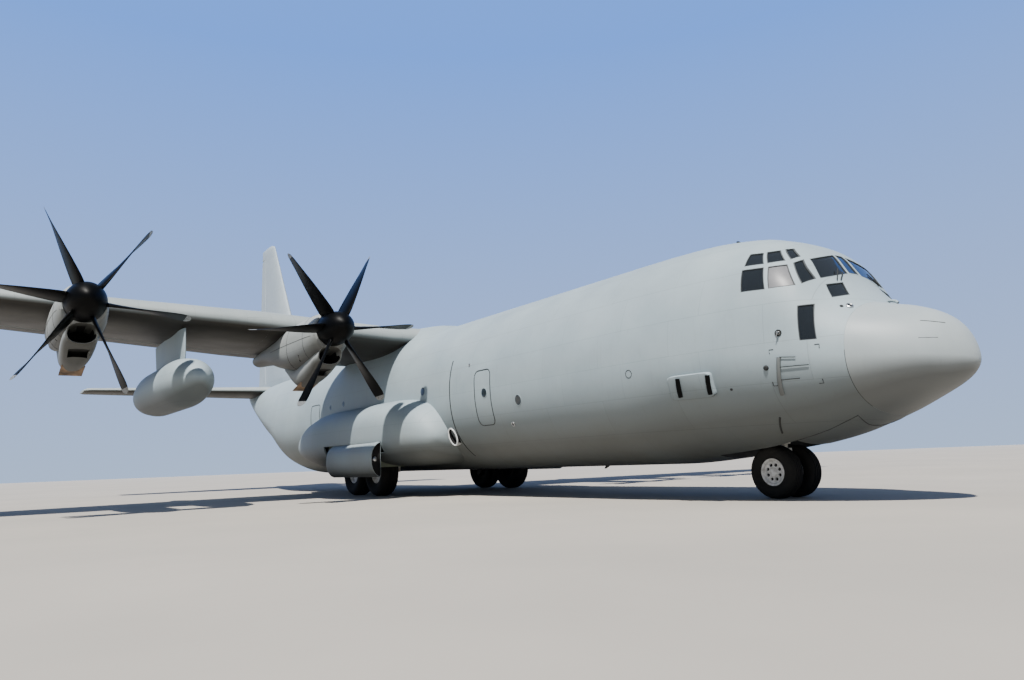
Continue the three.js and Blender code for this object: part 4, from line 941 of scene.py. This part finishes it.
finished("centre_wing_skin", together(
    wing_part([-5600, -2229], 0, 0.727), wing_part([-2230, 2230], 0, 1), wing_part([2229, 5600], 0, 0.727)),
    [wing_grey], stands_for=["centre_wing"])
tip = [TIP_STARTS + 258 * math.sin(i * math.pi / 18) for i in range(10)]
for side, name in ((1, "left"), (-1, "right")):
    finished(f"outer_wing_skin_{name}", together(
        wing_part([side * y for y in span(5600.7, 13301, 1600)], 0, 0.727),
        wing_part([side * 13300, side * 13360], 0, 1),
        wing_part([side * y for y in span(13359, 19851, 1600)], 0, 0.712),
        wing_part([side * 19850, *(side * y for y in tip)], 0, 1)),
        [wing_grey], stands_for=[f"outer_wing_{name}"])
    finished(f"inner_flap_skin_{name}", wing_part([side * 2235, side * 5595], 0.732, 1),
             [wing_grey], stands_for=[f"inner_flap_{name}"])
    finished(f"outer_flap_skin_{name}", wing_part([side * 5606, side * 13294], 0.732, 1),
             [wing_grey], stands_for=[f"outer_flap_{name}"])
    refinished(f"aileron_{name}", wing_grey)


# Engine nacelles
# Each turboprop hangs ahead of the wing in a cowl of hinged aluminium panels. A chin intake feeds the engine,
# a smaller one below it feeds the oil cooler, and a flap at its back lets the air out.
# Each engine's side, distance from the middle, station of its propeller's disc, and height.
ENGINES = [("outer_left", 10000, 12460, 4380), ("inner_left", 4800, 11960, 4095),
           ("inner_right", -4800, 11960, 4095), ("outer_right", -10000, 12460, 4380)]
# Behind the disc: top, bottom, half width and fullness of the cowl.
cowl_at = faired([
    (300, 430, -480, 440, 2), (420, 460, -600, 480, 2.1), (900, 470, -740, 510, 2.3),
    (2000, 430, -800, 520, 2.5), (3300, 320, -600, 480, 2.4), (4600, 200, -330, 340, 2.2),
    (5900, 100, -230, 210, 2)])
# Behind the disc: middle height, half width and half height of the chin intake.
chin_at = faired([
    (400, -620, 296, 222), (700, -670, 335, 240), (1000, -745, 335, 290), (1500, -850, 315, 320),
    (2150, -920, 265, 285), (2900, -620, 260, 180)])


def across_ring(s, y, z, half_wide, half_high, fullness, count=64):
    ring = []
    for i in range(count):
        sideways, upwards = rounded(2 * math.pi * (i + 0.5) / count, half_wide, half_high, fullness)
        ring.append(at(s, y + sideways, z + upwards))
    return ring


# The cowl's paint collects oil and soot, so it is a little browner than the body; low down and underneath it
# carries more painted shade than the body.
cowl_grey = aircraft_paint("matte_grey_paint_cowl", "#989E9F", "#A6ABAA", dirt_and_low_shade=1.2, underside_shade=0.85)
# Near-black for openings, ducts and recesses: painted shade inside them, and sooty on the exhaust pipe.
shade_and_soot_black = mottled("near_black_shade_and_soot", 30.0, 3.0, ("#040405", "#0C0C0D"), Roughness=0.85)
# The oil-cooler flap is bare steel, blued and browned by the hot air.
scorched = mottled("heat_stained_steel", 9.0, 5.0, ("#5B4A3C", "#A08468"), (0.35, 0.65),
                   Metallic=0.35, Roughness=0.55)


def sunk(form, faces, shift, mark):
    """Pushes cut-out faces back into their piece as a recess."""
    for f in faces:
        f.material_index = mark
    for v in bmesh.ops.extrude_face_region(form, geom=faces)["geom"]:
        if isinstance(v, bmesh.types.BMVert):
            v.co += shift
    bmesh.ops.delete(form, geom=[f for f in faces if f.is_valid], context="FACES")


# The intake's mouth behind the disc: half width, half height and how far each ring leans, from the duct's
# back to its lip.
MOUTH_HEIGHT, LIP_LEAN, MOUTH_FULLNESS = -630, 0.35, 2.4
MOUTH_RINGS = [
    (1250, 180, 95, 0), (900, 225, 130, 0), (620, 252, 176, 0.2), (480, 262, 188, 0.3),
    (425, 268, 194, LIP_LEAN), (402, 276, 202, LIP_LEAN), (394, 286, 212, LIP_LEAN),
    (400, 294, 220, LIP_LEAN)]
COOLER_SLOT = [(-205, -895), (205, -895), (190, -1030), (-190, -1030)]
SIDE_VENT = [(1290, -500), (1335, -490), (1420, -640), (1375, -650)]
COWL_FRONT = ((330, 250), (292, 300), (286, 400), (289, 425))
COOLER_FLAP = ((1750, -1120), (2050, -1190), (2350, -1270))
EXHAUST_PIPE = ((5300, 128), (6010, 112), (6010, 96), (5500, 96))
HINGE_LINE = -150
INTAKE_CUT, SHADE_BLACK, STAINED, SEAM = 9, 1, 2, 3

for name, y, disc, z in ENGINES:
    mouth_z = at(0, 0, z + MOUTH_HEIGHT).z

    def cowl_ring(d):
        top, bottom, half, fullness = cowl_at(d)
        return across_ring(disc + d, y, z + (top + bottom) / 2, half, (top - bottom) / 2, fullness)

    def leaning(ring, lean):
        return [p + Vector(((p.z - mouth_z) * lean, 0, 0)) for p in ring]

    rings = [across_ring(disc + d, y, z - 20, r, r, 2) for d, r in COWL_FRONT]
    rings += [cowl_ring(d) for d in (300, 330, 370, 420, 560, 720, *span(900, 5900, 200))]
    cowl = dyed(closed(skinned(rings)), 0)
    mouth_cut = across_ring(disc + 400, y, z - 600, 270, 196, MOUTH_FULLNESS, 24)
    marked(cowl, mouth_cut, ALONG_X, lambda c: c.x > at(disc + 1150, 0, 0).x, INTAKE_CUT)
    only(cowl, INTAKE_CUT, keep=False)
    # The side vents are sunk and lined near-black, as painted shade.
    vents = [marked(cowl, [at(disc + d, y, z + h) for d, h in SIDE_VENT], ALONG_Y,
                    lambda c: (c.y - y / FULL_SIZE) * side > 0.12, SHADE_BLACK) for side in (-1, 1)]
    sunk(cowl, vents[0], Vector((0, 0.02, 0)), SHADE_BLACK)
    sunk(cowl, vents[1], Vector((0, -0.02, 0)), SHADE_BLACK)
    mouth = [leaning(across_ring(disc + d, y, z - (630 if d > 700 else 600), w, h, MOUTH_FULLNESS), lean)
             for d, w, h, lean in MOUTH_RINGS]
    for d in (430, 520, 640, *span(760, 2900, 120)):
        middle, half, height = chin_at(d)
        ring = across_ring(disc + d, y, z + middle, half, height, 2.2)
        mouth.append(leaning(ring, LIP_LEAN * max(0.0, 1 - (d - 400) / 500)))
    chin = dyed(closed(skinned(mouth)), 0)
    # The chin intake's duct, back from its lip, is near-black: painted shade inside it.
    for f in chin.faces:
        c = f.calc_center_median()
        inside = math.hypot((c.y - y / FULL_SIZE) / 0.134, (c.z - mouth_z) / 0.0855) < 1
        if inside and c.x > at(disc + 1260, 0, 0).x:
            f.material_index = SHADE_BLACK
    # The oil cooler's slot is sunk and lined near-black, as painted shade.
    slot = marked(chin, [at(disc + 900, y + a, z + b) for a, b in COOLER_SLOT], ALONG_X,
                  lambda c: c.x > at(disc + 1400, 0, 0).x and c.z < at(0, 0, z - 860).z, SHADE_BLACK)
    sunk(chin, slot, Vector((-0.2, 0, 0)), SHADE_BLACK)
    flap_rings = [across_ring(disc + d, y, z + h, 235, 9, 9, 24) for d, h in COOLER_FLAP]
    flap = dyed(closed(skinned(flap_rings)), STAINED)
    bands = []
    for d in (900, 2000):
        ring = cowl_ring(d)
        bands.append(dyed(wire(ring + ring[:1], 5), SEAM))
    for side in (-1, 1):
        path = []
        for d in span(310, 3400, 150):
            top, bottom, half, fullness = cowl_at(d)
            share = (HINGE_LINE - (top + bottom) / 2) / ((top - bottom) / 2)
            wide = half * (1 - abs(share) ** fullness) ** (1 / fullness)
            path.append(at(disc + d, y + side * wide, z + HINGE_LINE))
        bands.append(dyed(wire(path, 5), SEAM))
    pipe_rings = [across_ring(disc + d, y, z - 80, r, r, 2, 32) for d, r in EXHAUST_PIPE]
    pipe = dyed(closed(skinned(pipe_rings)), SHADE_BLACK)
    finished(f"nacelle_cowl_{name}", together(cowl, chin, flap, pipe, *bands),
             [cowl_grey, shade_and_soot_black, scorched, sealant],
             stands_for=[f"nacelle_{name}"], crease=50)


# Propellers and spinners
# Six composite blades swept at the tip, in matte black polyurethane with a rubbed leading edge, feathered
# with their chord along the airflow. The spinner is a black painted aluminium bowl over the hub.
# Distance from the hub: chord, thickness, pitch and backward sweep.
blade_at = faired([
    (200, 300, 130, 108, 0), (340, 430, 112, 107, 0), (400, 500, 92, 106, 0), (520, 520, 80, 105, 0),
    (1100, 500, 42, 96, 0), (1800, 430, 18, 82, 12), (1990, 340, 12, 79.5, 34), (2057, 120, 6, 79, 60)])
TIP_PAINT = 1935
BLADE_RADII = (200, 330, 350, 375, 400, 440, 520, *span(600, TIP_PAINT, 82)[1:],
               1965, 1995, 2020, 2038, 2050, 2056)
# Radius of the spinner's bowl, measured backwards from the disc.
BOWL_NOSE = -600
BOWL_STEPS = (-600, -599, -596, -590, -580, -565, *span(-545, 270, 55))
bowl_at = faired([(BOWL_NOSE, 0), (-560, 120), (-430, 262), (-200, 366), (30, 402), (270, 404)],
                 lambda d: math.sqrt(d - BOWL_NOSE))
# How far each propeller stands turned, in degrees.
PHASES = {"outer_left": -24, "inner_left": -35, "inner_right": 35, "outer_right": 24}

blade_black, tree, out = blank("matte_black_blade_coating")
places = node(tree, "ShaderNodeTexCoord").outputs["Object"]
worn = node(tree, "ShaderNodeTexNoise", {"Vector": places, "Scale": 11.0, "Detail": 6.0})
tone = node(tree, "ShaderNodeValToRGB", {"Fac": worn.outputs["Fac"]})
ramped(tone, ("#020304", "#06070A"), (0.3, 0.75))
grit = node(tree, "ShaderNodeTexNoise", {"Vector": places, "Scale": 260.0, "Detail": 2.0})
sanded = node(tree, "ShaderNodeBump", {"Height": grit.outputs["Fac"], "Strength": 0.15, "Distance": 0.0005})
shader = node(tree, "ShaderNodeBsdfPrincipled", {
    "Base Color": tone.outputs["Color"], "Roughness": 0.42, "IOR": 1.4, "Specular IOR Level": 0.12,
    "Normal": sanded.outputs["Normal"]})
tree.links.new(shader.outputs["BSDF"], out.inputs["Surface"])

# The last 120 mm of each blade is sprayed light grey, and chipped in patches of about 40 mm.
tip_grey = mottled("light_grey_blade_tip", 55.0, 5.0, ("#3D4144", "#7D8184"), (0.36, 0.46), Roughness=0.5)

for name, y, disc, z in ENGINES:
    middle = at(disc, y, z)
    blades = []
    for i in range(6):
        turn = math.radians(PHASES[name] + i * 60)
        outward = Vector((0, -math.sin(turn), math.cos(turn)))
        ahead = ALONG_X.cross(outward)
        rings = []
        for r in BLADE_RADII:
            chord, thick, angle, sweep = blade_at(r)
            along = ahead * math.cos(math.radians(angle)) + ALONG_X * math.sin(math.radians(angle))
            flat = outward.cross(along)
            ring = []
            for a in (2 * math.pi * k / 28 for k in range(28)):
                c = 0.5 * math.cos(a)
                t = 0.43 * math.sin(a) * (1.0 + 0.75 * math.cos(a) - 0.25 * math.cos(a) ** 2)
                place = outward * r + along * (c * chord - sweep) + flat * (t * thick)
                ring.append(middle + place / FULL_SIZE)
            rings.append(ring)
        blade = dyed(closed(skinned(rings)), 0)
        for f in blade.faces:
            if (f.calc_center_median() - middle).dot(outward) > TIP_PAINT / FULL_SIZE:
                f.material_index = 1
        blades.append(blade)
    finished(f"propeller_blades_{name}", together(*blades), [blade_black, tip_grey],
             body=f"prop_{name}", stands_for=[f"propeller_{name}"], crease=60)
    sizes = [(d, bowl_at(d)[0] + 0.05) for d in BOWL_STEPS] + [(274, 392), (274, 120)]
    bowl = closed(skinned([across_ring(disc + d, y, z, r, r, 2) for d, r in sizes]))
    finished(f"spinner_bowl_{name}", bowl, [blade_black],
             body=f"prop_{name}", stands_for=[f"spinner_{name}"], crease=50)


# External fuel tanks
# Spun aluminium tanks with a long blunt nose, each on a pylon under the wing between the two engines.
TANK_FRONT, TANK_LENGTH, TANK_RADIUS, TANK_Y, TANK_Z = 12900, 7250, 595, 7620, 2960
# Share of the length: share of the radius.
tank_at = faired([(0, 0), (0.012, 0.3), (0.05, 0.6), (0.12, 0.85), (0.24, 1), (0.6, 1), (0.74, 0.86),
                  (0.87, 0.6), (0.965, 0.28), (1, 0.012)], math.sqrt)
# Height: leading and trailing edge of the pylon.
pylon_at = faired([(2960, 14750, 17700), (3700, 14500, 18000), (4900, 14650, 18400)])


def pylon_half(x):
    """Half the pylon's thickness at a share of its chord."""
    return 253 * (math.sqrt(x) - x) + 12 * x * (1 - x)


for side, name in ((1, "left"), (-1, "right")):
    rings = []
    for d in [(i / 60) ** 2 for i in range(0, 22)] + span(0.14, 1, 0.02):
        r = tank_at(d)[0] * TANK_RADIUS + 0.4
        rings.append(across_ring(TANK_FRONT + TANK_LENGTH * d, side * TANK_Y, TANK_Z, r, r, 2))
    tank = closed(skinned(rings))
    vane = []
    for height in span(2990, 4330, 130):
        lead, trail = pylon_at(height)
        ring = []
        for i in range(40):
            a = 2 * math.pi * i / 40
            x = 0.5 - 0.5 * math.cos(a)
            half = 0 if i in (0, 20) else math.copysign(pylon_half(x), math.sin(a))
            ring.append(at(lead + x * (trail - lead), side * TANK_Y + half, height))
        vane.append(ring)
    # A box closes the pylon's back edge, coloured near-black as painted shade.
    box_rings = [across_ring(s, side * TANK_Y, 3300, w, h, 5, 24) for s, w, h in (
        (17650, 22, 118), (17690, 32, 128), (18060, 32, 128), (18100, 22, 118))]
    end_box = dyed(closed(skinned(box_rings)), 1)
    finished(f"external_tank_body_{name}", together(tank, closed(skinned(vane)), end_box),
             [body_grey, shade_and_soot_black], stands_for=[f"external_tank_{name}"])


# Sponsons and main gear doors
# Riveted aluminium blisters on the body sides that carry the main wheels, with a small oval air inlet at the
# front, and a deep curved door hanging open outside the wheels.

# The inlet's lip is polished and catches the light.
white_inlet = mottled("bright_inlet_lip", 30.0, 4.0, ("#B4B9BB", "#DADDDD"), Roughness=0.35, IOR=1.5)

POD_FRONT = 11620
# Station: top, bottom, outer side and fullness of the pod.
sponson_at = faired([
    (POD_FRONT, 1600, 1400, 2090, 2), (11660, 1800, 1200, 2320, 2), (11880, 2150, 940, 2590, 2.15),
    (12300, 2430, 835, 2790, 2.4), (13300, 2580, 795, 2960, 2.8), (14100, 2600, 790, 3020, 3),
    (17800, 2590, 790, 3030, 3), (19400, 2430, 860, 2870, 2.8), (20700, 2100, 1040, 2570, 2.5),
    (21500, 1820, 1240, 2260, 2.3)], lambda s: math.sqrt(s - POD_FRONT))
POD_STATIONS = [POD_FRONT + 680 * (i / 16) ** 2 for i in range(17)]
POD_STATIONS += span(12380, 14100, 100) + span(14300, 21500, 200)
POD_INSIDE = 1500
WHEEL_HOLE_BELOW = ((14100, 1100), (17300, 1100), (17300, 2860), (14100, 2860))
WHEEL_HOLE_BESIDE = ((13479, 400), (17300, 400), (17300, 1450), (13479, 1450))
# The door's section, as distance from the middle and height, and how far its rings draw in towards its ends.
DOOR_SECTION = [
    (2990, 1449), (3075, 1405), (3150, 1330), (3204, 1235), (3230, 1130), (3238, 995), (3230, 860),
    (3198, 742), (3140, 640), (3075, 575), (3000, 541), (2972, 565), (2966, 700), (2962, 1000),
    (2962, 1300), (2965, 1420)]
DOOR_MIDDLE = Vector((3090, 1000))
LAMP_PROFILE = [(0, 44), (46, 40), (62, 26), (70, 4), (70, -60)]
DOOR_LIP, DOOR_END = 13481.5, 13561
DOOR_RINGS = ((13560, 26), (13500, 24), (13482, 20), (13481, 3), (13486, 0), (13700, 0),
              *((s, 0) for s in span(14000, 16400, 300)), (16552, 0), (16559, 4))
# The inlet's rings: depth, half width and half height, from its buried back over its lip into its duct.
INLET_RINGS = ((-300, 92, 200), (-80, 128.8, 232), (-10, 133.4, 236), (6, 128.8, 232), (14, 119.6, 224),
               (12, 101.2, 206), (4, 92, 198), (-30, 87.4, 194), (-150, 80.5, 184))
for side, name in ((1, "left"), (-1, "right")):
    rings = []
    for s in POD_STATIONS:
        top, bottom, outer, fullness = sponson_at(s)
        middle, wide, high = (top + bottom) / 2, outer - POD_INSIDE, (top - bottom) / 2
        rings.append(across_ring(s, side * POD_INSIDE, middle, wide, high, fullness, 96))
    pod = skinned(rings)
    bmesh.ops.holes_fill(pod, edges=[e for e in pod.edges if e.is_boundary], sides=0)
    marked(pod, [at(s, side * y, 900) for s, y in WHEEL_HOLE_BELOW], ALONG_Z,
           lambda c: c.z < 0.7 and c.y * side > 0.5, WELL)
    marked(pod, [at(s, side * 3000, z) for s, z in WHEEL_HOLE_BESIDE], ALONG_Y,
           lambda c: c.y * side > 1.43, WELL)
    only(pod, WELL, keep=False)
    bmesh.ops.recalc_face_normals(pod, faces=pod.faces)
    blister = finished(f"sponson_skin_{name}", pod, [body_grey, seal_rubber, primer],
                       stands_for=[f"sponson_{name}"])
    walled(blister, 0.02)
    lining = bmesh.new()
    box = Matrix.Translation(at(15700, side * 2230, 1505)) @ Matrix.Diagonal((1.6, 0.63, 0.715, 1))
    bmesh.ops.create_cube(lining, size=1.0, matrix=box)
    bmesh.ops.delete(lining, geom=[f for f in lining.faces if f.normal.z < -0.5], context="FACES")
    bmesh.ops.reverse_faces(lining, faces=lining.faces)
    walled(finished(f"main_wheel_well_lining_{name}", lining, [primer]), -0.02, inner=0)

    # The door is a closed curved box whose front end holds a lamp; that end is near-black, painted shade
    # standing for the door's open inside.
    rings = []
    for s, grow in DOOR_RINGS:
        ring = []
        for corner in DOOR_SECTION:
            away = Vector(corner) - DOOR_MIDDLE
            away *= 1 - grow / away.length
            ring.append(at(s, side * (DOOR_MIDDLE.x + away.x), DOOR_MIDDLE.y + away.y))
        rings.append(ring)
    door = closed(skinned(rings))
    for f in door.faces:
        f.material_index = 1 if all(DOOR_LIP < station(v.co) < DOOR_END for v in f.verts) else 0
    lamp = dyed(turned(LAMP_PROFILE, at(13550, side * 3105, 1000), ALONG_X), 2)
    finished(f"main_gear_door_shell_{name}", together(door, lamp), [body_grey, shade_and_soot_black, steel],
             stands_for=[f"main_gear_door_{name}"], crease=50)

    # The oval inlet lies slanted between the pod's nose and the body, parallel to the skin.
    inlet_middle = at(11400, side * 2004, 1460)
    facing = Vector((0.30, side * 0.93, -0.12)).normalized()
    upward = Vector((-0.37, 0, 0.93))
    upward = (upward - facing * facing.dot(upward)).normalized()
    sideways = facing.cross(upward)
    rings = []
    for depth, w, h in INLET_RINGS:
        ring = []
        for a in (2 * math.pi * k / 40 for k in range(40)):
            place = facing * depth + sideways * w * math.cos(a) + upward * h * math.sin(a)
            ring.append(inlet_middle + place / FULL_SIZE)
        rings.append(ring)
    scoop = closed(skinned(rings))
    # The inlet's duct, inside its lip, is near-black: painted shade inside it.
    for f in scoop.faces:
        deep = max((v.co - inlet_middle).dot(facing) for v in f.verts)
        wide = max(abs((v.co - inlet_middle).dot(upward)) for v in f.verts)
        f.material_index = 1 if deep < 0.0021 and wide < 0.1035 else 0
    finished(f"pod_air_inlet_{name}", scoop, [white_inlet, shade_and_soot_black])


# Main undercarriage
# Shock struts in line, in white gloss enamel, with one wheel each: a forged rim in silver enamel and a
# low-pressure tyre with plain grooves round it.
tyre_rubber, tree, out = blank("aircraft_tyre_rubber")
places = node(tree, "ShaderNodeTexCoord").outputs["Object"]
scrub = node(tree, "ShaderNodeTexNoise", {"Vector": places, "Scale": 40.0, "Detail": 5.0})
tone = node(tree, "ShaderNodeValToRGB", {"Fac": scrub.outputs["Fac"]})
ramped(tone, ("#070808", "#121211"), (0.35, 0.75))
pores = node(tree, "ShaderNodeBump", {"Height": scrub.outputs["Fac"], "Strength": 0.2, "Distance": 0.001})
shader = node(tree, "ShaderNodeBsdfPrincipled", {
    "Base Color": tone.outputs["Color"], "Roughness": 0.86, "Normal": pores.outputs["Normal"]})
tree.links.new(shader.outputs["BSDF"], out.inputs["Surface"])

# Wheels are sprayed in silver enamel and greyed by brake dust.
wheel_silver = mottled("silver_wheel_enamel", 26.0, 5.0, ("#B3B4B2", "#E4E5E5"), (0.3, 0.62),
                       Roughness=0.4, IOR=1.5)
# White gloss enamel on the legs, yellowed by grease.
white_enamel = mottled("white_gear_enamel", 18.0, 6.0, ("#A7A59B", "#DADBD8"), (0.3, 0.6),
                       Roughness=0.3, IOR=1.5)


def lathe(profile, centre, count=64):
    """Turns pairs of radius and distance to port round an axle across the aircraft."""
    form = bmesh.new()
    corners = [form.verts.new(centre + Vector((r / FULL_SIZE, d / FULL_SIZE, 0))) for r, d in profile]
    edges = [form.edges.new(pair) for pair in zip(corners, corners[1:])]
    bmesh.ops.spin(form, geom=corners + edges, cent=centre, axis=(0, 1, 0), dvec=(0, 0, 0),
                   angle=2 * math.pi, steps=count, use_merge=True)
    bmesh.ops.remove_doubles(form, verts=form.verts, dist=1e-6)
    bmesh.ops.recalc_face_normals(form, faces=form.faces)
    return form


def tyre_profile(radius, half, rim, grooves):
    """The outline of a tyre from bead to bead, with its tread grooves."""
    profile = [(rim + 2, -half * 0.70), (rim + 30, -half * 0.80), (radius * 0.72, -half * 0.985),
               (radius * 0.82, -half), (radius * 0.90, -half * 0.94), (radius * 0.955, -half * 0.80),
               (radius * 0.985, -half * 0.62)]
    for g in grooves:
        profile += [(radius, g - 13), (radius - 14, g - 8), (radius - 14, g + 8), (radius, g + 13)]
    profile += [(r, -d) for r, d in profile[6::-1]]
    return profile + [(rim + 2, 0), profile[0]]


# A wheel's outline as shares of its rim's radius and of its half width: hub cap, dished disc and flange on
# its outer side, then the open bowl on the inner.
WHEEL_SHARES = [
    (0, 0.66), (0.20, 0.66), (0.28, 0.60), (0.34, 0.47), (0.66, 0.45), (0.80, 0.50), (0.87, 0.66),
    (0.97, 0.72), (1, 0.71), (1, -0.71), (0.95, -0.72), (0.86, -0.60), (0.84, 0), (0.3, 0), (0, 0)]


def wheel_profile(half, rim, side):
    return [(rim * r, side * half * d) for r, d in WHEEL_SHARES]


MAIN_TYRE, MAIN_HALF, MAIN_RIM = 650, 245, 300
for side, name in ((1, "left"), (-1, "right")):
    for end, s in (("front", 14980), ("rear", 16500)):
        hub = at(s, side * 2225, MAIN_TYRE)
        rubber = lathe(tyre_profile(MAIN_TYRE, MAIN_HALF, MAIN_RIM, (-120, -40, 40, 120)), hub, 72)
        finished(f"main_tyre_tread_{end}_{name}", rubber, [tyre_rubber],
                 body=f"main_wheel_{end}_{name}", stands_for=[f"main_tyre_{end}_{name}"], crease=30)
        wheel = lathe(wheel_profile(MAIN_HALF, MAIN_RIM, side), hub, 60)
        # The inner side of each wheel is near-black: painted shade between the wheels.
        for f in wheel.faces:
            f.material_index = 1 if (f.calc_center_median().y - hub.y) * side < 0.02 else 0
        finished(f"main_wheel_disc_{end}_{name}", wheel, [wheel_silver, shade_and_soot_black],
                 body=f"main_wheel_{end}_{name}", stands_for=[f"main_hub_{end}_{name}"], crease=40)
    refinished(f"main_gear_leg_{name}", white_enamel)


# Nose undercarriage
# One steered strut with twin wheels on a live axle, white enamel over forged steel, with a drag brace to the
# back of its box. The wheel discs are silver with eight round cooling holes.
NOSE_S, NOSE_Y, NOSE_TYRE, NOSE_HALF, NOSE_RIM = 3370, 270, 455, 160, 235
HOLES, HOLES_OUT, HOLE_RADIUS = 8, 128, 29
for side, name in ((1, "left"), (-1, "right")):
    nose_tyre = tyre_profile(NOSE_TYRE, NOSE_HALF, NOSE_RIM, (-72, -24, 24, 72))
    rubber = lathe(nose_tyre, at(NOSE_S, side * NOSE_Y, NOSE_TYRE), 72)
    finished(f"nose_tyre_tread_{name}", rubber, [tyre_rubber], body="nose_wheels",
             stands_for=[f"nose_tyre_{name}"], crease=30)
discs = []
for side in (1, -1):
    wheel = lathe(wheel_profile(NOSE_HALF, NOSE_RIM, side), at(NOSE_S, side * NOSE_Y, NOSE_TYRE), 64)
    for k in range(HOLES):
        turn = 2 * math.pi * (k + 0.5) / HOLES
        s, z = NOSE_S + HOLES_OUT * math.cos(turn), NOSE_TYRE + HOLES_OUT * math.sin(turn)
        hole = [at(s + HOLE_RADIUS * math.cos(a), side * NOSE_Y, z + HOLE_RADIUS * math.sin(a))
                for a in (2 * math.pi * i / 12 for i in range(12))]
        # Each cooling hole is sunk and lined near-black, as painted shade inside it.
        front = marked(wheel, hole, ALONG_Y, lambda c: (c.y * side - 0.135) > 0.012, 1)
        sunk(wheel, front, Vector((0, -side * 0.012, 0)), 1)
    discs.append(wheel)
axle = lathe([(0, -250), (50, -250), (50, 250), (0, 250)], at(NOSE_S, 0, NOSE_TYRE), 32)
finished("nose_wheel_discs", together(*discs, axle), [wheel_silver, shade_and_soot_black],
         body="nose_wheels", stands_for=["nose_hubs"], crease=40)
refinished("nose_gear_leg", white_enamel)
refinished("nose_steering_fork", white_enamel)


# Fin, rudder, tailplane and elevators
# Tall swept fin with a long root fairing and a straight tailplane on the aft body, both of riveted sheet; the
# rudder and elevators hang behind them on shrouded hinges.
fin_grey = aircraft_paint("matte_grey_paint_fin", "#A1AFBA", "#ABB8C1", dirt_and_low_shade=0.4, underside_shade=0.5)


def tail_section(place, lead, chord, thick, last, count=22):
    """A symmetrical aerofoil from its leading edge to a last share of its chord."""
    ring = []
    for over, u in round_profile(count):
        x = last * (1 - math.cos(u * math.pi / 2))
        half = (aerofoil_half(x, thick) + SKIN_EXTRA * (x > 0)) * chord
        ring.append(place(lead + x * chord, half if over else -half))
    return ring


def row_at(rows, v):
    """A straight line between the two rows on either side of a value."""
    a, b = next((a, b) for a, b in zip(rows, rows[1:]) if v <= b[0])
    t = (v - a[0]) / (b[0] - a[0])
    return [p + (q - p) * t for p, q in zip(a[1:], b[1:])]


# Height: leading edge, trailing edge and thickness of the fin.
FIN_ROWS = [(4300, 23900, 33550, 0.06), (5350, 27500, 33480, 0.1), (11500, 31260, 33240, 0.1),
            (11700, 31400, 33220, 0.09), (11810, 31750, 33190, 0.05)]
RUDDER_LOW, RUDDER_HIGH, RUDDER_GAP = 4950, 11330, 92


def fin_ring(z, full):
    """The fin at a height: whole, or cut off in front of the rudder."""
    lead, trail, thick = row_at(FIN_ROWS, z)
    hinge = 32080 + (z - RUDDER_LOW) * 560 / (RUDDER_HIGH - RUDDER_LOW)
    last = 1.0 if full else (hinge - RUDDER_GAP - lead) / (trail - lead)
    return tail_section(lambda s, half: at(s, half, z), lead, trail - lead, thick, last)


fin = together(
    closed(skinned([fin_ring(z, True) for z in (4300, 4650, RUDDER_LOW)])),
    closed(skinned([fin_ring(z, False) for z in (RUDDER_LOW, 5350, *span(5350, RUDDER_HIGH, 600)[1:])])),
    closed(skinned([fin_ring(z, True) for z in (RUDDER_HIGH, 11500, 11600, 11700, 11760, 11795, 11809)])))
finished("fin_skin", fin, [fin_grey], stands_for=["fin"])
refinished("rudder", fin_grey)

# Distance from the middle: leading edge, chord and thickness of the tailplane.
TAIL_ROWS = [(300, 28960, 4060, 0.12), (7875, 30400, 2000, 0.11), (8025, 30660, 1480, 0.06)]
TAIL_HEIGHT, ELEVATOR_IN, ELEVATOR_OUT, ELEVATOR_GAP = 4350, 1220, 7765, 98


def tail_ring(y, side, full):
    """The tailplane at a distance from the middle: whole, or cut off in front of the elevator."""
    lead, chord, thick = row_at(TAIL_ROWS, y)
    hinge = 31830 - (y - ELEVATOR_IN) * 70 / (ELEVATOR_OUT - ELEVATOR_IN)
    last = 1.0 if full else (hinge - ELEVATOR_GAP - lead) / chord
    return tail_section(lambda s, half: at(s, side * y, TAIL_HEIGHT + half), lead, chord, thick, last)


for side, name in ((1, "left"), (-1, "right")):
    plane = together(
        closed(skinned([tail_ring(y, side, True) for y in (300, 800, ELEVATOR_IN)])),
        closed(skinned([tail_ring(y, side, False) for y in span(ELEVATOR_IN, ELEVATOR_OUT, 800)])),
        closed(skinned([tail_ring(y, side, True) for y in (ELEVATOR_OUT, 7875, 7930, 7980, 8010, 8024)])))
    finished(f"tailplane_skin_{name}", plane, [wing_grey], stands_for=[f"tailplane_{name}"])
    refinished(f"elevator_{name}", wing_grey)
